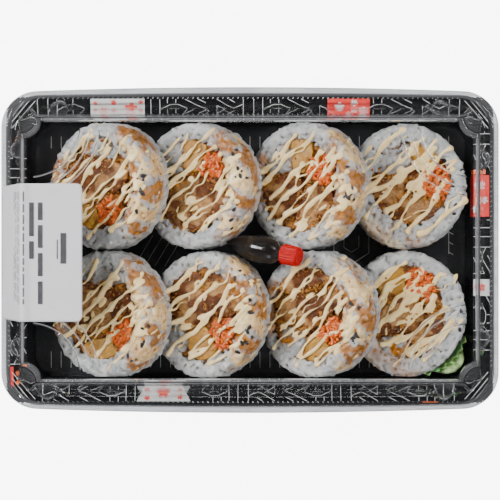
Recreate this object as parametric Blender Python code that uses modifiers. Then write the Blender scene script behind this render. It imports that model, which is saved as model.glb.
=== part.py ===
"""A takeaway sushi tray, shut: a black tray, a clear lid with a paper label, and inside them
eight thick rolls that lean on each other in two rows, a sauce bottle, a lump of wasabi and a
green plastic leaf. Lengths are in metres, +Z is up and +X runs along the tray's long side.
The origin is under the middle of the tray, where it stands."""

import math
import random
from collections import namedtuple

import bmesh
import bpy
from mathutils import Matrix, Vector

MM = 0.001
GAP = 0.3 * MM  # clear space between two pieces that lie against each other
SEED = 11

# Tray and lid, as rings from the outer edge inwards. Each ring has its half length, half width,
# height, corner radius (negative for a hollow corner) and how far its long sides bow out, in mm.
Ring = namedtuple("Ring", "half_x half_y z corner bow")
TRAY_WALL = 0.5 * MM
TRAY_RINGS = (
    Ring(115.7, 73.0, 17.2, 15, 1.2),  # foot of the turned-down lip
    Ring(114.9, 72.2, 20.0, 15, 1.2),
    Ring(112.2, 69.6, 20.2, 13, 1.0),  # inner edge of the lip
    Ring(111.6, 69.0, 18.6, 13, 1.0),  # groove behind the lip
    Ring(108.2, 64.4, 18.6, 12, 0.0),
    Ring(107.4, 63.4, 17.8, 12, 0.0),  # shoulder
    Ring(105.8, 61.8, 1.6, 11, 0.0),  # foot of the wall
    Ring(104.8, 60.9, 0.5, 10, 0.0),  # edge of the floor
)
LID_WALL = 0.5 * MM
LID_RINGS = (
    Ring(120.0, 76.0, 16.6, 17, 2.6),  # outer edge of the flange
    Ring(119.4, 75.4, 17.4, 17, 2.6),
    Ring(117.4, 74.4, 17.4, 16, 1.4),
    Ring(117.1, 74.0, 20.8, 16, 1.3),  # skirt over the tray's lip
    Ring(116.2, 73.2, 21.1, 15, 1.2),
    Ring(112.6, 69.8, 21.1, 13, 1.0),
    Ring(111.4, 68.6, 22.0, 12, 0.8),  # foot of the wall
    Ring(110.8, 67.8, 23.4, -5, 0.3),  # the hollow corners begin
    Ring(105.8, 61.4, 49.4, -7, 0.0),
    Ring(105.2, 60.8, 51.2, -7, 0.0),  # bead round the top panel
    Ring(104.0, 59.6, 51.7, -7.6, 0.0),
    Ring(102.6, 58.2, 50.7, -8.4, 0.0),  # edge of the top panel
)
CORNER_STEPS = 5
SIDE_STEPS = 3

# The label runs over the panel's left end and down to the flange.
LABEL_PAPER = 0.25 * MM
LABEL_HALF_WIDTH = 31.7 * MM
LABEL_MIDDLE_Y = -1.2 * MM
LABEL_RISE = 0.5 * MM  # how far the paper lies above the plastic
LABEL_END_X = -77.0 * MM
LABEL_CORNER = 2.5 * MM

# The rolls. Lengths and widths are those of the cut face.
ROLL_LENGTH = 57.0 * MM
ROLL_WIDTH = 60.0 * MM
ROLL_HEIGHT = 19.5 * MM
ROW_Y = 30.55 * MM
ROW_END_X = 104.4 * MM  # right end of the flat roll
FLOOR_TOP = 0.5 * MM
LEAN_GAP = 0.6 * MM  # between a leaning roll and the one that it leans on
ROLL_STEPS = 26
GRAIN = 1.1 * MM  # depth of the bumps that the rice grains make
NORI = 0.6 * MM
FILLING_DROP = 1.3 * MM  # how far the fillings end below the rice
FILLING_POINTS = 12
FILLING_SPREAD = 0.57  # share of its listed size that a filling reaches either way, where free

# Mayonnaise strands across the cut faces, and sesame seeds.
STRAND_ANGLE = math.radians(43)
STRAND_RADIUS = 1.35 * MM
STRAND_STEPS = 5
STRAND_WAVE = 1.3 * MM
STRAND_RISE = 0.55 * MM
SEED_SIZE = Vector((1.7, 1.0, 0.7)) * MM
SEED_SINK = 0.95 * MM  # how far a seed's middle lies below the rice's highest level
SEEDS_PER_ROLL = 4

# Sauce bottle: radius and distance along its axis from the cap's end, in mm.
CAP_PROFILE = ((0.0, 0.0), (3.9, 0.0), (4.6, -0.8), (4.8, -8.6), (3.4, -9.0), (0.0, -9.0))
BOTTLE_PROFILE = (
    (0.0, -9.4),
    (3.0, -9.4),
    (3.1, -11.0),
    (5.4, -13.4),
    (6.4, -16.5),
    (6.6, -24.0),
    (4.8, -31.5),
    (2.3, -37.3),
    (0.0, -40.5),
)
TURNED_STEPS = 14
BOTTLE_TIP = Vector((23.0, -3.4, 40.0)) * MM  # middle of the cap's end
BOTTLE_SLOPE = math.radians(30)
BOTTLE_TURN = math.radians(-12)

# Leaf and wasabi, in the corner beside the last roll.
LEAF_THICK = 0.45 * MM
LEAF_RADIUS = 30.5 * MM
LEAF_FROM = math.radians(-74)
LEAF_TO = math.radians(-22)
LEAF_STEPS = 14
LEAF_HEIGHT = 12.0 * MM
TOOTH_HEIGHT = 6.0 * MM
LEAF_FLARE = 1.6 * MM
WASABI_RADIUS = 32.2 * MM
WASABI_TOP = 13.0 * MM
WASABI_FROM = math.radians(-64)
WASABI_TO = math.radians(-31)
WASABI_STEPS = 10

# What a roll holds: middle, size and turn of each filling on the cut face, in mm and degrees.
Filling = namedtuple("Filling", "kind along across length width turn")
# hollow: half length and half width of the space inside the rice; shift: its middle, in mm.
Roll = namedtuple("Roll", "name row tilt hollow shift fillings")
ROLLS = (
    Roll("roll_1", 1, 29.0, (20.4, 22.6), (-1.6, 0.2), (
        Filling("core_rice", 2, 18, 20, 11, 0),
        Filling("chicken_a", -1, 4, 34, 22, 35),
        Filling("carrot", 5, -12, 13, 12, 20),
        Filling("pickle", -7, -15, 13, 12, 30),
    )),
    Roll("roll_2", 1, 23.0, (20.6, 23.0), (-1.6, 0.2), (
        Filling("core_rice", -12, 14, 15, 17, 30),
        Filling("pickle", 0, 14, 13, 15, 70),
        Filling("carrot", 10, 10, 11, 22, -20),
        Filling("chicken_a", -1, -10, 36, 24, 30),
    )),
    Roll("roll_3", 1, 26.5, (20.4, 23.0), (-1.6, 0.2), (
        Filling("core_rice", -12, 14, 14, 17, 20),
        Filling("pickle", 0, 15, 10, 17, 0),
        Filling("carrot", 11, 8, 15, 14, -20),
        Filling("chicken_a", -9, -5, 20, 20, 25),
        Filling("chicken_b", 7, -11, 20, 22, 35),
    )),
    Roll("roll_4", 1, 0.0, (20.4, 20.4), (1.2, 1.4), (
        Filling("core_rice", -8, 13, 22, 13, 30),
        Filling("pickle", 8, 15, 11, 9, -35),
        Filling("carrot", 14, 1, 13, 18, 10),
        Filling("chicken_a", -10, -2, 18, 17, 35),
        Filling("chicken_b", 3, -12, 24, 16, 25),
    )),
    Roll("roll_5", 2, 26.0, (20.4, 22.6), (-1.6, 0.2), (
        Filling("core_rice", 0, 19, 24, 9, 0),
        Filling("chicken_a", -3, 4, 32, 24, 15),
        Filling("carrot", 11, -9, 12, 13, 40),
        Filling("pickle", -1, -17, 18, 10, 10),
    )),
    Roll("roll_6", 2, 22.5, (20.6, 23.2), (-1.6, 0.0), (
        Filling("chicken_a", -8, 8, 20, 24, 20),
        Filling("chicken_b", 9, 10, 18, 22, 15),
        Filling("carrot", 11, -9, 13, 14, 20),
        Filling("pickle", -1, -14, 12, 14, 30),
        Filling("core_rice", -14, -11, 10, 14, 20),
    )),
    Roll("roll_7", 2, 31.0, (20.6, 23.4), (-1.6, 0.0), (
        Filling("chicken_b", -4, 17, 26, 12, 10),
        Filling("chicken_a", -1, 3, 34, 16, 20),
        Filling("carrot", 11, -8, 12, 13, 10),
        Filling("pickle", 3, -16, 12, 13, 35),
        Filling("core_rice", -10, -13, 13, 12, 20),
    )),
    Roll("roll_8", 2, 0.0, (19.6, 23.8), (-0.4, 0.6), (
        Filling("pickle", -8, 16, 12, 15, 5),
        Filling("carrot", 7, 15, 17, 14, 30),
        Filling("chicken_a", -6, -1, 24, 16, 35),
        Filling("chicken_b", 8, -7, 16, 20, 35),
        Filling("core_rice", -7, -17, 18, 11, 15),
    )),
)

# Colour, roughness, metallic and transmission of each material.
FINISHES = {
    "tray": ((0.025, 0.025, 0.027), 0.35, 0.0, 0.0),
    "clear": ((0.93, 0.94, 0.95), 0.08, 0.0, 0.95),
    "paper": ((0.80, 0.79, 0.83), 0.70, 0.0, 0.0),
    "rice": ((0.72, 0.71, 0.68), 0.45, 0.0, 0.0),
    "nori": ((0.015, 0.018, 0.014), 0.40, 0.0, 0.0),
    "chicken": ((0.55, 0.33, 0.15), 0.60, 0.0, 0.0),
    "carrot": ((0.80, 0.20, 0.05), 0.45, 0.0, 0.0),
    "pickle": ((0.62, 0.42, 0.10), 0.35, 0.0, 0.0),
    "sauce": ((0.020, 0.014, 0.012), 0.12, 0.0, 0.0),
    "cap": ((0.65, 0.03, 0.02), 0.35, 0.0, 0.0),
    "leaf": ((0.10, 0.26, 0.08), 0.35, 0.0, 0.0),
    "wasabi": ((0.30, 0.42, 0.16), 0.60, 0.0, 0.0),
}
FILLING_FINISH = {
    "core_rice": "rice",
    "pickle": "pickle",
    "carrot": "carrot",
    "chicken_a": "chicken",
    "chicken_b": "chicken",
}


def clear_scene():
    for obj in list(bpy.data.objects):
        bpy.data.objects.remove(obj)


def collection_named(name):
    made = bpy.data.collections.new(name)
    bpy.context.scene.collection.children.link(made)
    return made


def finish_named(name, finish):
    """A material of one finish, named for the object that wears it."""
    colour, roughness, metallic, transmission = FINISHES[finish]
    made = bpy.data.materials.new(name)
    made.use_nodes = True
    shader = made.node_tree.nodes["Principled BSDF"]
    shader.inputs["Base Color"].default_value = (*colour, 1.0)
    shader.inputs["Roughness"].default_value = roughness
    shader.inputs["Metallic"].default_value = metallic
    shader.inputs["Transmission Weight"].default_value = transmission
    return made


def piece(name, mesh, finish, parent=None, smooth=True):
    """An object of this mesh in the collection of parts."""
    made = bpy.data.objects.new(name, mesh)
    mesh.materials.clear()
    mesh.materials.append(finish_named(name, finish))
    if smooth:
        mesh.shade_smooth()
        mesh.set_sharp_from_angle(angle=math.radians(40))
    PARTS.objects.link(made)
    made.parent = parent
    return made


def guide(name, location, turn=(0.0, 0.0, 0.0)):
    """An empty that carries the pieces of one roll or of the bottle."""
    made = bpy.data.objects.new(name, None)
    made.location = location
    made.rotation_euler = turn
    PARTS.objects.link(made)
    return made


def mesh_of(bm, name):
    mesh = bpy.data.meshes.new(name)
    bm.to_mesh(mesh)
    bm.free()
    return mesh


def evaluated_mesh(obj):
    """The object's mesh with its modifiers applied."""
    bpy.context.view_layer.update()
    graph = bpy.context.evaluated_depsgraph_get()
    return bpy.data.meshes.new_from_object(obj.evaluated_get(graph))


def applied(obj):
    """The object's mesh with its modifiers applied, and the object removed."""
    mesh = evaluated_mesh(obj)
    bpy.data.objects.remove(obj)
    return mesh


def helper(name, mesh):
    """An object that only makes another, in the collection of helpers."""
    made = bpy.data.objects.new(name, mesh)
    HELPERS.objects.link(made)
    made.hide_render = True
    made.display_type = "WIRE"
    return made


def ring_points(ring):
    """The outline of one ring, counter-clockwise from the foot of the first corner. A corner is a
    quarter circle, bulging out round its own centre or, where hollow, in round the corner itself."""
    radius = abs(ring.corner)
    hollow = ring.corner < 0
    points = []
    for number, (side_x, side_y) in enumerate(((1, 1), (-1, 1), (-1, -1), (1, -1))):
        reach = 0 if hollow else radius
        middle = Vector((side_x * (ring.half_x - reach), side_y * (ring.half_y - reach)))
        for step in range(CORNER_STEPS + 1):
            turned = step / CORNER_STEPS
            angle = math.radians(90 * (number - turned + (3 if hollow else 2 * turned)))
            points.append(middle + radius * Vector((math.cos(angle), math.sin(angle))))
        corner_end = points[-1]
        following = ((-1, 1), (-1, -1), (1, -1), (1, 1))[number]
        along_x = number % 2 == 0
        next_start = Vector((
            following[0] * (ring.half_x - (radius if along_x else 0)),
            following[1] * (ring.half_y - (0 if along_x else radius)),
        ))
        for step in range(1, SIDE_STEPS):
            points.append(corner_end.lerp(next_start, step / SIDE_STEPS))
    bowed = []
    for point in points:
        share = 1 - (point.x / ring.half_x) ** 2
        side = 1 if point.y > 0 else -1
        bowed.append(Vector((point.x, point.y + side * ring.bow * share, ring.z)) * MM)
    return bowed


def pressed_shell(name, rings, wall, finish):
    """A sheet drawn through the rings, closed by a flat panel over the last, and given its wall."""
    bm = bmesh.new()
    loops = [[bm.verts.new(point) for point in ring_points(ring)] for ring in rings]
    for outer, inner in zip(loops, loops[1:]):
        for index in range(len(outer)):
            after = (index + 1) % len(outer)
            bm.faces.new((outer[index], outer[after], inner[after], inner[index]))
    bm.faces.new(loops[-1])
    sheet = helper(name + "_sheet", mesh_of(bm, name))
    thick = sheet.modifiers.new("wall", "SOLIDIFY")
    thick.thickness = wall
    thick.offset = -1
    thick.use_even_offset = True
    return piece(name, applied(sheet), finish)


def label():
    """A paper strip over the panel, the bead and the open side of the lid."""
    panel, bead, flange = LID_RINGS[-1], LID_RINGS[-2], LID_RINGS[1]
    low = panel.z * MM + LABEL_RISE
    high = bead.z * MM + LABEL_RISE
    path = (
        (LABEL_END_X, low, LABEL_CORNER),
        (LABEL_END_X - 0.3 * LABEL_CORNER, low, 0.3 * LABEL_CORNER),
        (LABEL_END_X - LABEL_CORNER, low, 0.0),
        (-(panel.half_x - 1.5) * MM, low, 0.0),
        (-(bead.half_x - 0.6) * MM, high, 0.0),
        (-(bead.half_x + 1.6) * MM, high - 0.6 * MM, 0.0),
        (-(flange.half_x - 0.2) * MM, flange.z * MM + 2 * LABEL_RISE, 0.0),
    )
    bm = bmesh.new()
    rows = []
    for x, z, narrower in path:
        reach = LABEL_HALF_WIDTH - narrower
        rows.append([bm.verts.new((x, LABEL_MIDDLE_Y + side * reach, z)) for side in (-1, 1)])
    for near, far in zip(rows, rows[1:]):
        bm.faces.new((near[0], near[1], far[1], far[0]))
    bmesh.ops.triangulate(bm, faces=bm.faces)
    sheet = helper("label_sheet", mesh_of(bm, "label"))
    thick = sheet.modifiers.new("paper", "SOLIDIFY")
    thick.thickness = LABEL_PAPER
    thick.offset = 1
    piece("label", applied(sheet), "paper", smooth=False)


def lean_row(tilts):
    """Where each roll of a row stands, from left to right: its foot, which is the left end of its
    lower face, and its tilt. The last roll is flat, and each other one leans on its right neighbour:
    its lower face just clears the neighbour's upper left edge, and its own lower right edge the
    neighbour's upper face."""
    ground = FLOOR_TOP + GAP
    foot = ROW_END_X - ROLL_LENGTH
    placed = [(foot, ground, tilts[-1])]
    for tilt in reversed(tilts[:-1]):
        next_foot, _, next_tilt = placed[0]
        edge_x = next_foot - ROLL_HEIGHT * math.sin(next_tilt)
        edge_rise = ROLL_HEIGHT * math.cos(next_tilt)
        foot = edge_x - (LEAN_GAP + edge_rise * math.cos(tilt)) / math.sin(tilt)
        if next_tilt > 0:
            rise = ROLL_LENGTH * math.sin(tilt) - edge_rise
            over = edge_x + (rise * math.cos(next_tilt) - LEAN_GAP) / math.sin(next_tilt)
            foot = min(foot, over - ROLL_LENGTH * math.cos(tilt))
        placed.insert(0, (foot, ground, tilt))
    return placed


def roll_frames():
    """The matrix of each roll's frame, by name: its origin is the middle of the lower face, +X runs
    up the lean and +Z points out of the cut face."""
    frames = {}
    for row, side in ((1, 1), (2, -1)):
        rolls = [roll for roll in ROLLS if roll.row == row]
        places = lean_row([math.radians(roll.tilt) for roll in rolls])
        for roll, (foot, ground, tilt) in zip(rolls, places):
            middle = Vector((
                foot + ROLL_LENGTH / 2 * math.cos(tilt),
                side * ROW_Y,
                ground + ROLL_LENGTH / 2 * math.sin(tilt),
            ))
            frames[roll.name] = Matrix.Translation(middle) @ Matrix.Rotation(-tilt, 4, "Y")
    return frames


def oval(half_x, half_y, angle):
    """Distance from the middle to an ellipse's edge in the direction of angle."""
    return half_x * half_y / math.hypot(half_y * math.cos(angle), half_x * math.sin(angle))


def outer_reach(angle, phases):
    """The roll's outline, an oval pressed in by up to 4% in two slow waves."""
    pressed = 0.010 * (1 + math.sin(2 * angle + phases[0]))
    pressed += 0.008 * (1 + math.sin(3 * angle + phases[1]))
    return oval(ROLL_LENGTH / 2, ROLL_WIDTH / 2, angle) * (1 - pressed)


def hollow_point(roll, angle, inset):
    """A point on the edge of the space inside the rice, moved in by inset."""
    half_x, half_y = (size * MM for size in roll.hollow)
    reach = oval(half_x, half_y, angle) - inset
    middle = Vector(roll.shift) * MM
    return middle + reach * Vector((math.cos(angle), math.sin(angle)))


def turned_mesh(name, profile, steps):
    """A closed or axis-to-axis profile turned once round Z. The profile runs down its outer side."""
    bm = bmesh.new()
    verts = [bm.verts.new((x, 0.0, z)) for x, z in profile]
    closed = min(x for x, _ in profile) > 0
    for index in range(len(verts) - (0 if closed else 1)):
        bm.edges.new((verts[index], verts[(index + 1) % len(verts)]))
    blank = helper(name + "_profile", mesh_of(bm, name))
    turning = blank.modifiers.new("turning", "SCREW")
    turning.steps = steps
    turning.render_steps = steps
    turning.use_merge_vertices = True
    turning.merge_threshold = 0.05 * MM
    mesh = applied(blank)
    bm = bmesh.new()
    bm.from_mesh(mesh)
    bmesh.ops.recalc_face_normals(bm, faces=bm.faces)
    bm.to_mesh(mesh)
    bm.free()
    return mesh


def rice_ring(roll, draw):
    """The outer rice: a turned ring whose outline is pressed oval and whose surface has bumps as
    large as rice grains. The profile holds the share of the way out and the height."""
    top = ROLL_HEIGHT
    profile = (
        (0.45, top),
        (0.84, top - 0.7 * MM),
        (1.0, top - 3.0 * MM),
        (1.0, 2.6 * MM),
        (0.86, 0.3 * MM),
        (0.0, 0.2 * MM),
        (0.0, top - 0.9 * MM),
    )
    mesh = turned_mesh(roll.name, [(1.0 + share, z) for share, z in profile], ROLL_STEPS)
    phases = (draw.uniform(0, math.tau), draw.uniform(0, math.tau))
    for vert in mesh.vertices:
        share = math.hypot(vert.co.x, vert.co.y) - 1.0
        angle = math.atan2(vert.co.y, vert.co.x)
        inside = hollow_point(roll, angle, 0.0)
        outward = Vector((math.cos(angle), math.sin(angle)))
        outside = outward * outer_reach(angle, phases)
        place = inside.lerp(outside, share)
        bump = GRAIN * draw.random() if share > 0.1 else 0.0
        place -= outward * bump * min(1.0, max(0.0, share - 0.4) * 2)
        rise = -0.6 * bump if vert.co.z > top / 2 else 0.3 * bump
        vert.co = (place.x, place.y, vert.co.z + rise)
    return mesh


def nori_ring(roll, frame):
    """The sheet of seaweed inside the outer rice, as one thin ring."""
    top = ROLL_HEIGHT - FILLING_DROP + 0.1 * MM
    profile = ((2.0, top), (2.0, 0.6 * MM), (1.0, 0.6 * MM), (1.0, top))
    mesh = turned_mesh(roll.name + "_nori", profile, ROLL_STEPS)
    for vert in mesh.vertices:
        angle = math.atan2(vert.co.y, vert.co.x)
        inner = math.hypot(vert.co.x, vert.co.y) < 1.5
        place = hollow_point(roll, angle, GAP + (NORI if inner else 0.0))
        vert.co = (place.x, place.y, vert.co.z)
    piece(roll.name + "_nori", mesh, "nori", frame)


def clipped(polygon, point, outward):
    """The part of a convex polygon behind the line through point that faces outward."""
    kept = []
    for here, after in zip(polygon, polygon[1:] + polygon[:1]):
        depth_here = (here - point).dot(outward)
        depth_after = (after - point).dot(outward)
        if depth_here <= 0:
            kept.append(here)
        if depth_here * depth_after < 0:
            kept.append(here.lerp(after, depth_here / (depth_here - depth_after)))
    return kept


def without_short_sides(polygon, least):
    """The polygon without the points that lie closer than least to the one before."""
    kept = []
    for point in polygon:
        if all((point - other).length >= least for other in kept[-1:] + kept[:1]):
            kept.append(point)
    return kept


def filling_outline(roll, filling):
    """A rounded slab, cut back where it would leave the seaweed or cross another filling. Two
    fillings meet on a line square to that between their middles, nearer the smaller one."""
    middle = Vector((filling.along, filling.across)) * MM
    turned = Matrix.Rotation(math.radians(filling.turn), 2)
    square = 0.62 if filling.kind == "pickle" else 0.85
    polygon = []
    for step in range(FILLING_POINTS):
        angle = math.tau * (step + 0.5) / FILLING_POINTS
        x = math.copysign(abs(math.cos(angle)) ** square, math.cos(angle)) * filling.length
        y = math.copysign(abs(math.sin(angle)) ** square, math.sin(angle)) * filling.width
        polygon.append(middle + turned @ Vector((x, y)) * FILLING_SPREAD * MM)
    size = math.sqrt(filling.length * filling.width)
    for other in roll.fillings:
        if other is filling:
            continue
        towards = Vector((other.along, other.across)) * MM - middle
        share = size / (size + math.sqrt(other.length * other.width))
        outward = towards.normalized()
        polygon = clipped(polygon, middle + towards * share - outward * GAP / 2, outward)
    wall = GAP + NORI + GAP
    for step in range(ROLL_STEPS):
        start = hollow_point(roll, math.tau * step / ROLL_STEPS, wall)
        end = hollow_point(roll, math.tau * (step + 1) / ROLL_STEPS, wall)
        along = end - start
        polygon = clipped(polygon, start, Vector((along.y, -along.x)).normalized())
    return without_short_sides(polygon, 0.9 * MM)


def filling_slab(roll, filling, frame, draw):
    """One filling, which runs through the roll, with a slightly uneven upper face."""
    outline = filling_outline(roll, filling)
    top = ROLL_HEIGHT - FILLING_DROP
    bm = bmesh.new()
    lower = [bm.verts.new((point.x, point.y, 0.5 * MM)) for point in outline]
    upper = [
        bm.verts.new((point.x, point.y, top - draw.uniform(0.0, 0.9) * MM)) for point in outline
    ]
    crown = sum(outline, Vector((0.0, 0.0))) / len(outline)
    crown = bm.verts.new((crown.x, crown.y, top))
    bm.faces.new(lower[::-1])
    for index in range(len(lower)):
        after = (index + 1) % len(lower)
        bm.faces.new((lower[index], lower[after], upper[after], upper[index]))
        bm.faces.new((upper[index], upper[after], crown))
    mesh = mesh_of(bm, filling.kind)
    piece(roll.name + "_" + filling.kind, mesh, FILLING_FINISH[filling.kind], frame)


def tube_mesh(name, points, radii, radius):
    """A round tube through the points, closed at both ends."""
    curve = bpy.data.curves.new(name, "CURVE")
    curve.dimensions = "3D"
    curve.bevel_depth = radius
    curve.bevel_resolution = 1
    curve.use_fill_caps = True
    spline = curve.splines.new("POLY")
    spline.points.add(len(points) - 1)
    for target, point, share in zip(spline.points, points, radii):
        target.co = (*point, 1.0)
        target.radius = share
    made = bpy.data.objects.new(name, curve)
    HELPERS.objects.link(made)
    mesh = applied(made)
    bpy.data.curves.remove(curve)
    bm = bmesh.new()
    bm.from_mesh(mesh)
    bmesh.ops.remove_doubles(bm, verts=bm.verts, dist=0.01 * MM)
    bm.to_mesh(mesh)
    bm.free()
    return mesh


def bottle_matrix():
    """The bottle's frame: +Z runs along its axis to the cap's end, which is the origin."""
    turned = Matrix.Rotation(BOTTLE_TURN, 4, "Z")
    sloped = Matrix.Rotation(math.pi / 2 - BOTTLE_SLOPE, 4, "Y")
    return Matrix.Translation(BOTTLE_TIP) @ turned @ sloped


def is_free(place, left_frame):
    """Whether a strand may pass here: not under the roll that leans over, nor by the bottle."""
    reach = STRAND_RADIUS + 1.2 * MM
    if left_frame is not None:
        over = left_frame.inverted() @ place
        inside = math.hypot(over.x / (ROLL_LENGTH / 2 + reach), over.y / (ROLL_WIDTH / 2 + reach))
        if inside < 1 and -reach < over.z < ROLL_HEIGHT + reach:
            return False
    beside = bottle_matrix().inverted() @ place
    widest = 6.5 * MM + reach
    return math.hypot(beside.x, beside.y) > widest or beside.z > reach


def strands(roll, frame, left_frame, draw):
    """Mayonnaise strands over the cut face, from rice to rice. They run up to the right."""
    along = Vector((math.cos(STRAND_ANGLE), math.sin(STRAND_ANGLE)))
    beside = Vector((-along.y, along.x))
    height = ROLL_HEIGHT + STRAND_RISE
    made = []
    for number, offset in enumerate((-15.0, -5.0, 5.0, 15.0)):
        offset = (offset + draw.uniform(-1.5, 1.5)) * MM
        half = math.sqrt((ROLL_LENGTH / 2 - 2.6 * MM) ** 2 - offset**2)
        wave = draw.uniform(0, math.tau)
        points = []
        for step in range(STRAND_STEPS + 1):
            distance = half * (2 * step / STRAND_STEPS - 1)
            sway = STRAND_WAVE * math.sin(2.4 * math.pi * step / STRAND_STEPS + wave)
            spot = along * distance + beside * (offset + sway)
            if is_free(frame @ Vector((*spot, height)), left_frame):
                points.append(Vector((*spot, height)))
        if len(points) < 3:
            continue
        radii = [1.25, *(draw.uniform(0.8, 1.1) for _ in points[2:]), 1.25]
        made.append(tube_mesh(f"{roll.name}_strand_{number}", points, radii, STRAND_RADIUS))
    return made


def seeds(draw):
    """Sesame seeds, half sunk in the raised side's rice."""
    made = []
    for number in range(SEEDS_PER_ROLL):
        angle = math.radians(-62 + 124 * (number + draw.uniform(0.2, 0.8)) / SEEDS_PER_ROLL)
        reach = draw.uniform(0.80, 0.88)
        spot = Vector((
            ROLL_LENGTH / 2 * reach * math.cos(angle),
            ROLL_WIDTH / 2 * reach * math.sin(angle),
            ROLL_HEIGHT - SEED_SINK,
        ))
        bm = bmesh.new()
        bmesh.ops.create_icosphere(bm, subdivisions=1, radius=1.0)
        size = Matrix.Diagonal((*SEED_SIZE, 1.0))
        turned = Matrix.Rotation(draw.uniform(0, math.pi), 4, "Z")
        bm.transform(Matrix.Translation(spot) @ turned @ size)
        made.append(mesh_of(bm, "seed"))
    return made


def fused(name, base, toppings):
    """The base mesh with its toppings joined on by one union."""
    operands = bpy.data.collections.new(name + "_toppings")
    HELPERS.children.link(operands)
    for number, mesh in enumerate(toppings):
        operands.objects.link(bpy.data.objects.new(f"{name}_topping_{number}", mesh))
    body = helper(name + "_base", base)
    union = body.modifiers.new("union", "BOOLEAN")
    union.operation = "UNION"
    union.operand_type = "COLLECTION"
    union.collection = operands
    mesh = applied(body)
    for obj in list(operands.objects):
        bpy.data.objects.remove(obj)
    bpy.data.collections.remove(operands)
    return mesh


def rolls():
    frames = roll_frames()
    for number, roll in enumerate(ROLLS):
        draw = random.Random(SEED + number)
        matrix = frames[roll.name]
        frame = guide(roll.name, matrix.to_translation(), matrix.to_euler())
        first_of_row = number == 0 or ROLLS[number - 1].row != roll.row
        left_frame = None if first_of_row else frames[ROLLS[number - 1].name]
        ring = rice_ring(roll, draw)
        toppings = strands(roll, matrix, left_frame, draw) + seeds(draw)
        piece(roll.name + "_rice", fused(roll.name, ring, toppings), "rice", frame)
        nori_ring(roll, frame)
        for filling in roll.fillings:
            filling_slab(roll, filling, frame, draw)


def bottle():
    matrix = bottle_matrix()
    axis = guide("bottle_axis", matrix.to_translation(), matrix.to_euler())
    for name, profile, finish in (
        ("bottle_cap", CAP_PROFILE, "cap"),
        ("sauce_bottle", BOTTLE_PROFILE, "sauce"),
    ):
        scaled = [(radius * MM, z * MM) for radius, z in profile]
        piece(name, turned_mesh(name, scaled, TURNED_STEPS), finish, axis)


def corner_middle():
    """The middle of the last roll, round which the leaf and the wasabi lie."""
    return roll_frames()["roll_8"].to_translation()


def leaf():
    """An upright strip bent round the roll, whose toothed edge flares out over the wasabi."""
    centre = corner_middle()
    bm = bmesh.new()
    columns = []
    for step in range(LEAF_STEPS + 1):
        share = step / LEAF_STEPS
        angle = LEAF_FROM + (LEAF_TO - LEAF_FROM) * share
        ripple = 0.25 * MM * math.sin(9 * math.pi * share)
        flare = LEAF_FLARE * math.sin(math.pi * share)
        tooth = TOOTH_HEIGHT if step % 2 else 0.5 * MM
        outward = Vector((math.cos(angle), math.sin(angle), 0.0))
        foot = centre + outward * (LEAF_RADIUS + ripple)
        foot.z = FLOOR_TOP + 2 * GAP
        column = []
        for out, height in (
            (0.0, 0.0),
            (0.1, 0.5 * LEAF_HEIGHT),
            (0.3, LEAF_HEIGHT),
            (0.3 + 0.7 * (step % 2), LEAF_HEIGHT + tooth),
        ):
            spot = foot + outward * (flare * out)
            column.append(bm.verts.new((spot.x, spot.y, foot.z + height)))
        columns.append(column)
    for near, far in zip(columns, columns[1:]):
        for index in range(len(near) - 1):
            bm.faces.new((near[index], far[index], far[index + 1], near[index + 1]))
    bmesh.ops.triangulate(bm, faces=bm.faces)
    sheet = helper("leaf_sheet", mesh_of(bm, "leaf"))
    thick = sheet.modifiers.new("wall", "SOLIDIFY")
    thick.thickness = LEAF_THICK
    thick.offset = 0
    piece("leaf", applied(sheet), "leaf", smooth=False)


def wall_reach(centre, angle, clear):
    """Distance from centre to the tray's wall at its foot, less the clear space, towards angle."""
    foot = TRAY_RINGS[-2]
    half_x, half_y, corner = (size * MM - clear for size in (foot.half_x, foot.half_y, foot.corner))
    ray = Vector((math.cos(angle), math.sin(angle)))
    reach = min((half_x - centre.x) / ray.x, (-half_y - centre.y) / ray.y)
    to_middle = Vector((half_x - corner, -half_y + corner)) - centre.xy
    nearest = to_middle.dot(ray)
    aside = (to_middle - ray * nearest).length
    if aside < corner:
        reach = min(reach, nearest + math.sqrt(corner**2 - aside**2))
    return reach


def wasabi():
    """A soft lump in the corner between the leaf and the tray's wall: rounded cross-sections, set
    side by side round the roll, that narrow and sink towards both ends."""
    centre = corner_middle()
    floor = FLOOR_TOP + 2 * GAP
    bm = bmesh.new()
    sections = []
    for step in range(WASABI_STEPS + 1):
        share = step / WASABI_STEPS
        angle = WASABI_FROM + (WASABI_TO - WASABI_FROM) * share
        outer = wall_reach(centre, angle, 3.5 * GAP)
        swell = 1 - 0.75 * abs(2 * share - 1) ** 3
        lump = 1 + 0.10 * math.sin(11 * share)
        middle = (WASABI_RADIUS + outer) / 2
        half = (outer - WASABI_RADIUS) / 2 * swell
        outward = Vector((math.cos(angle), math.sin(angle), 0.0))
        section = []
        for out, rise in ((-0.8, 0.0), (0.8, 0.0), (1.0, 0.35), (0.8, 0.8), (0.0, 1.0), (-0.9, 0.75)):
            spot = centre + outward * (middle + half * out)
            height = floor + WASABI_TOP * rise * swell * lump
            section.append(bm.verts.new((spot.x, spot.y, height)))
        sections.append(section)
    for near, far in zip(sections, sections[1:]):
        for index in range(len(near)):
            after = (index + 1) % len(near)
            bm.faces.new((near[index], near[after], far[after], far[index]))
    bm.faces.new(sections[0][::-1])
    bm.faces.new(sections[-1])
    bmesh.ops.recalc_face_normals(bm, faces=bm.faces)
    piece("wasabi", mesh_of(bm, "wasabi"), "wasabi")


clear_scene()
PARTS = collection_named("sushi_tray")
HELPERS = collection_named("helpers")
HELPERS.hide_render = True
pressed_shell("tray", TRAY_RINGS, TRAY_WALL, "tray")
pressed_shell("lid", LID_RINGS, LID_WALL, "clear")
label()
rolls()
bottle()
leaf()
wasabi()
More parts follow.
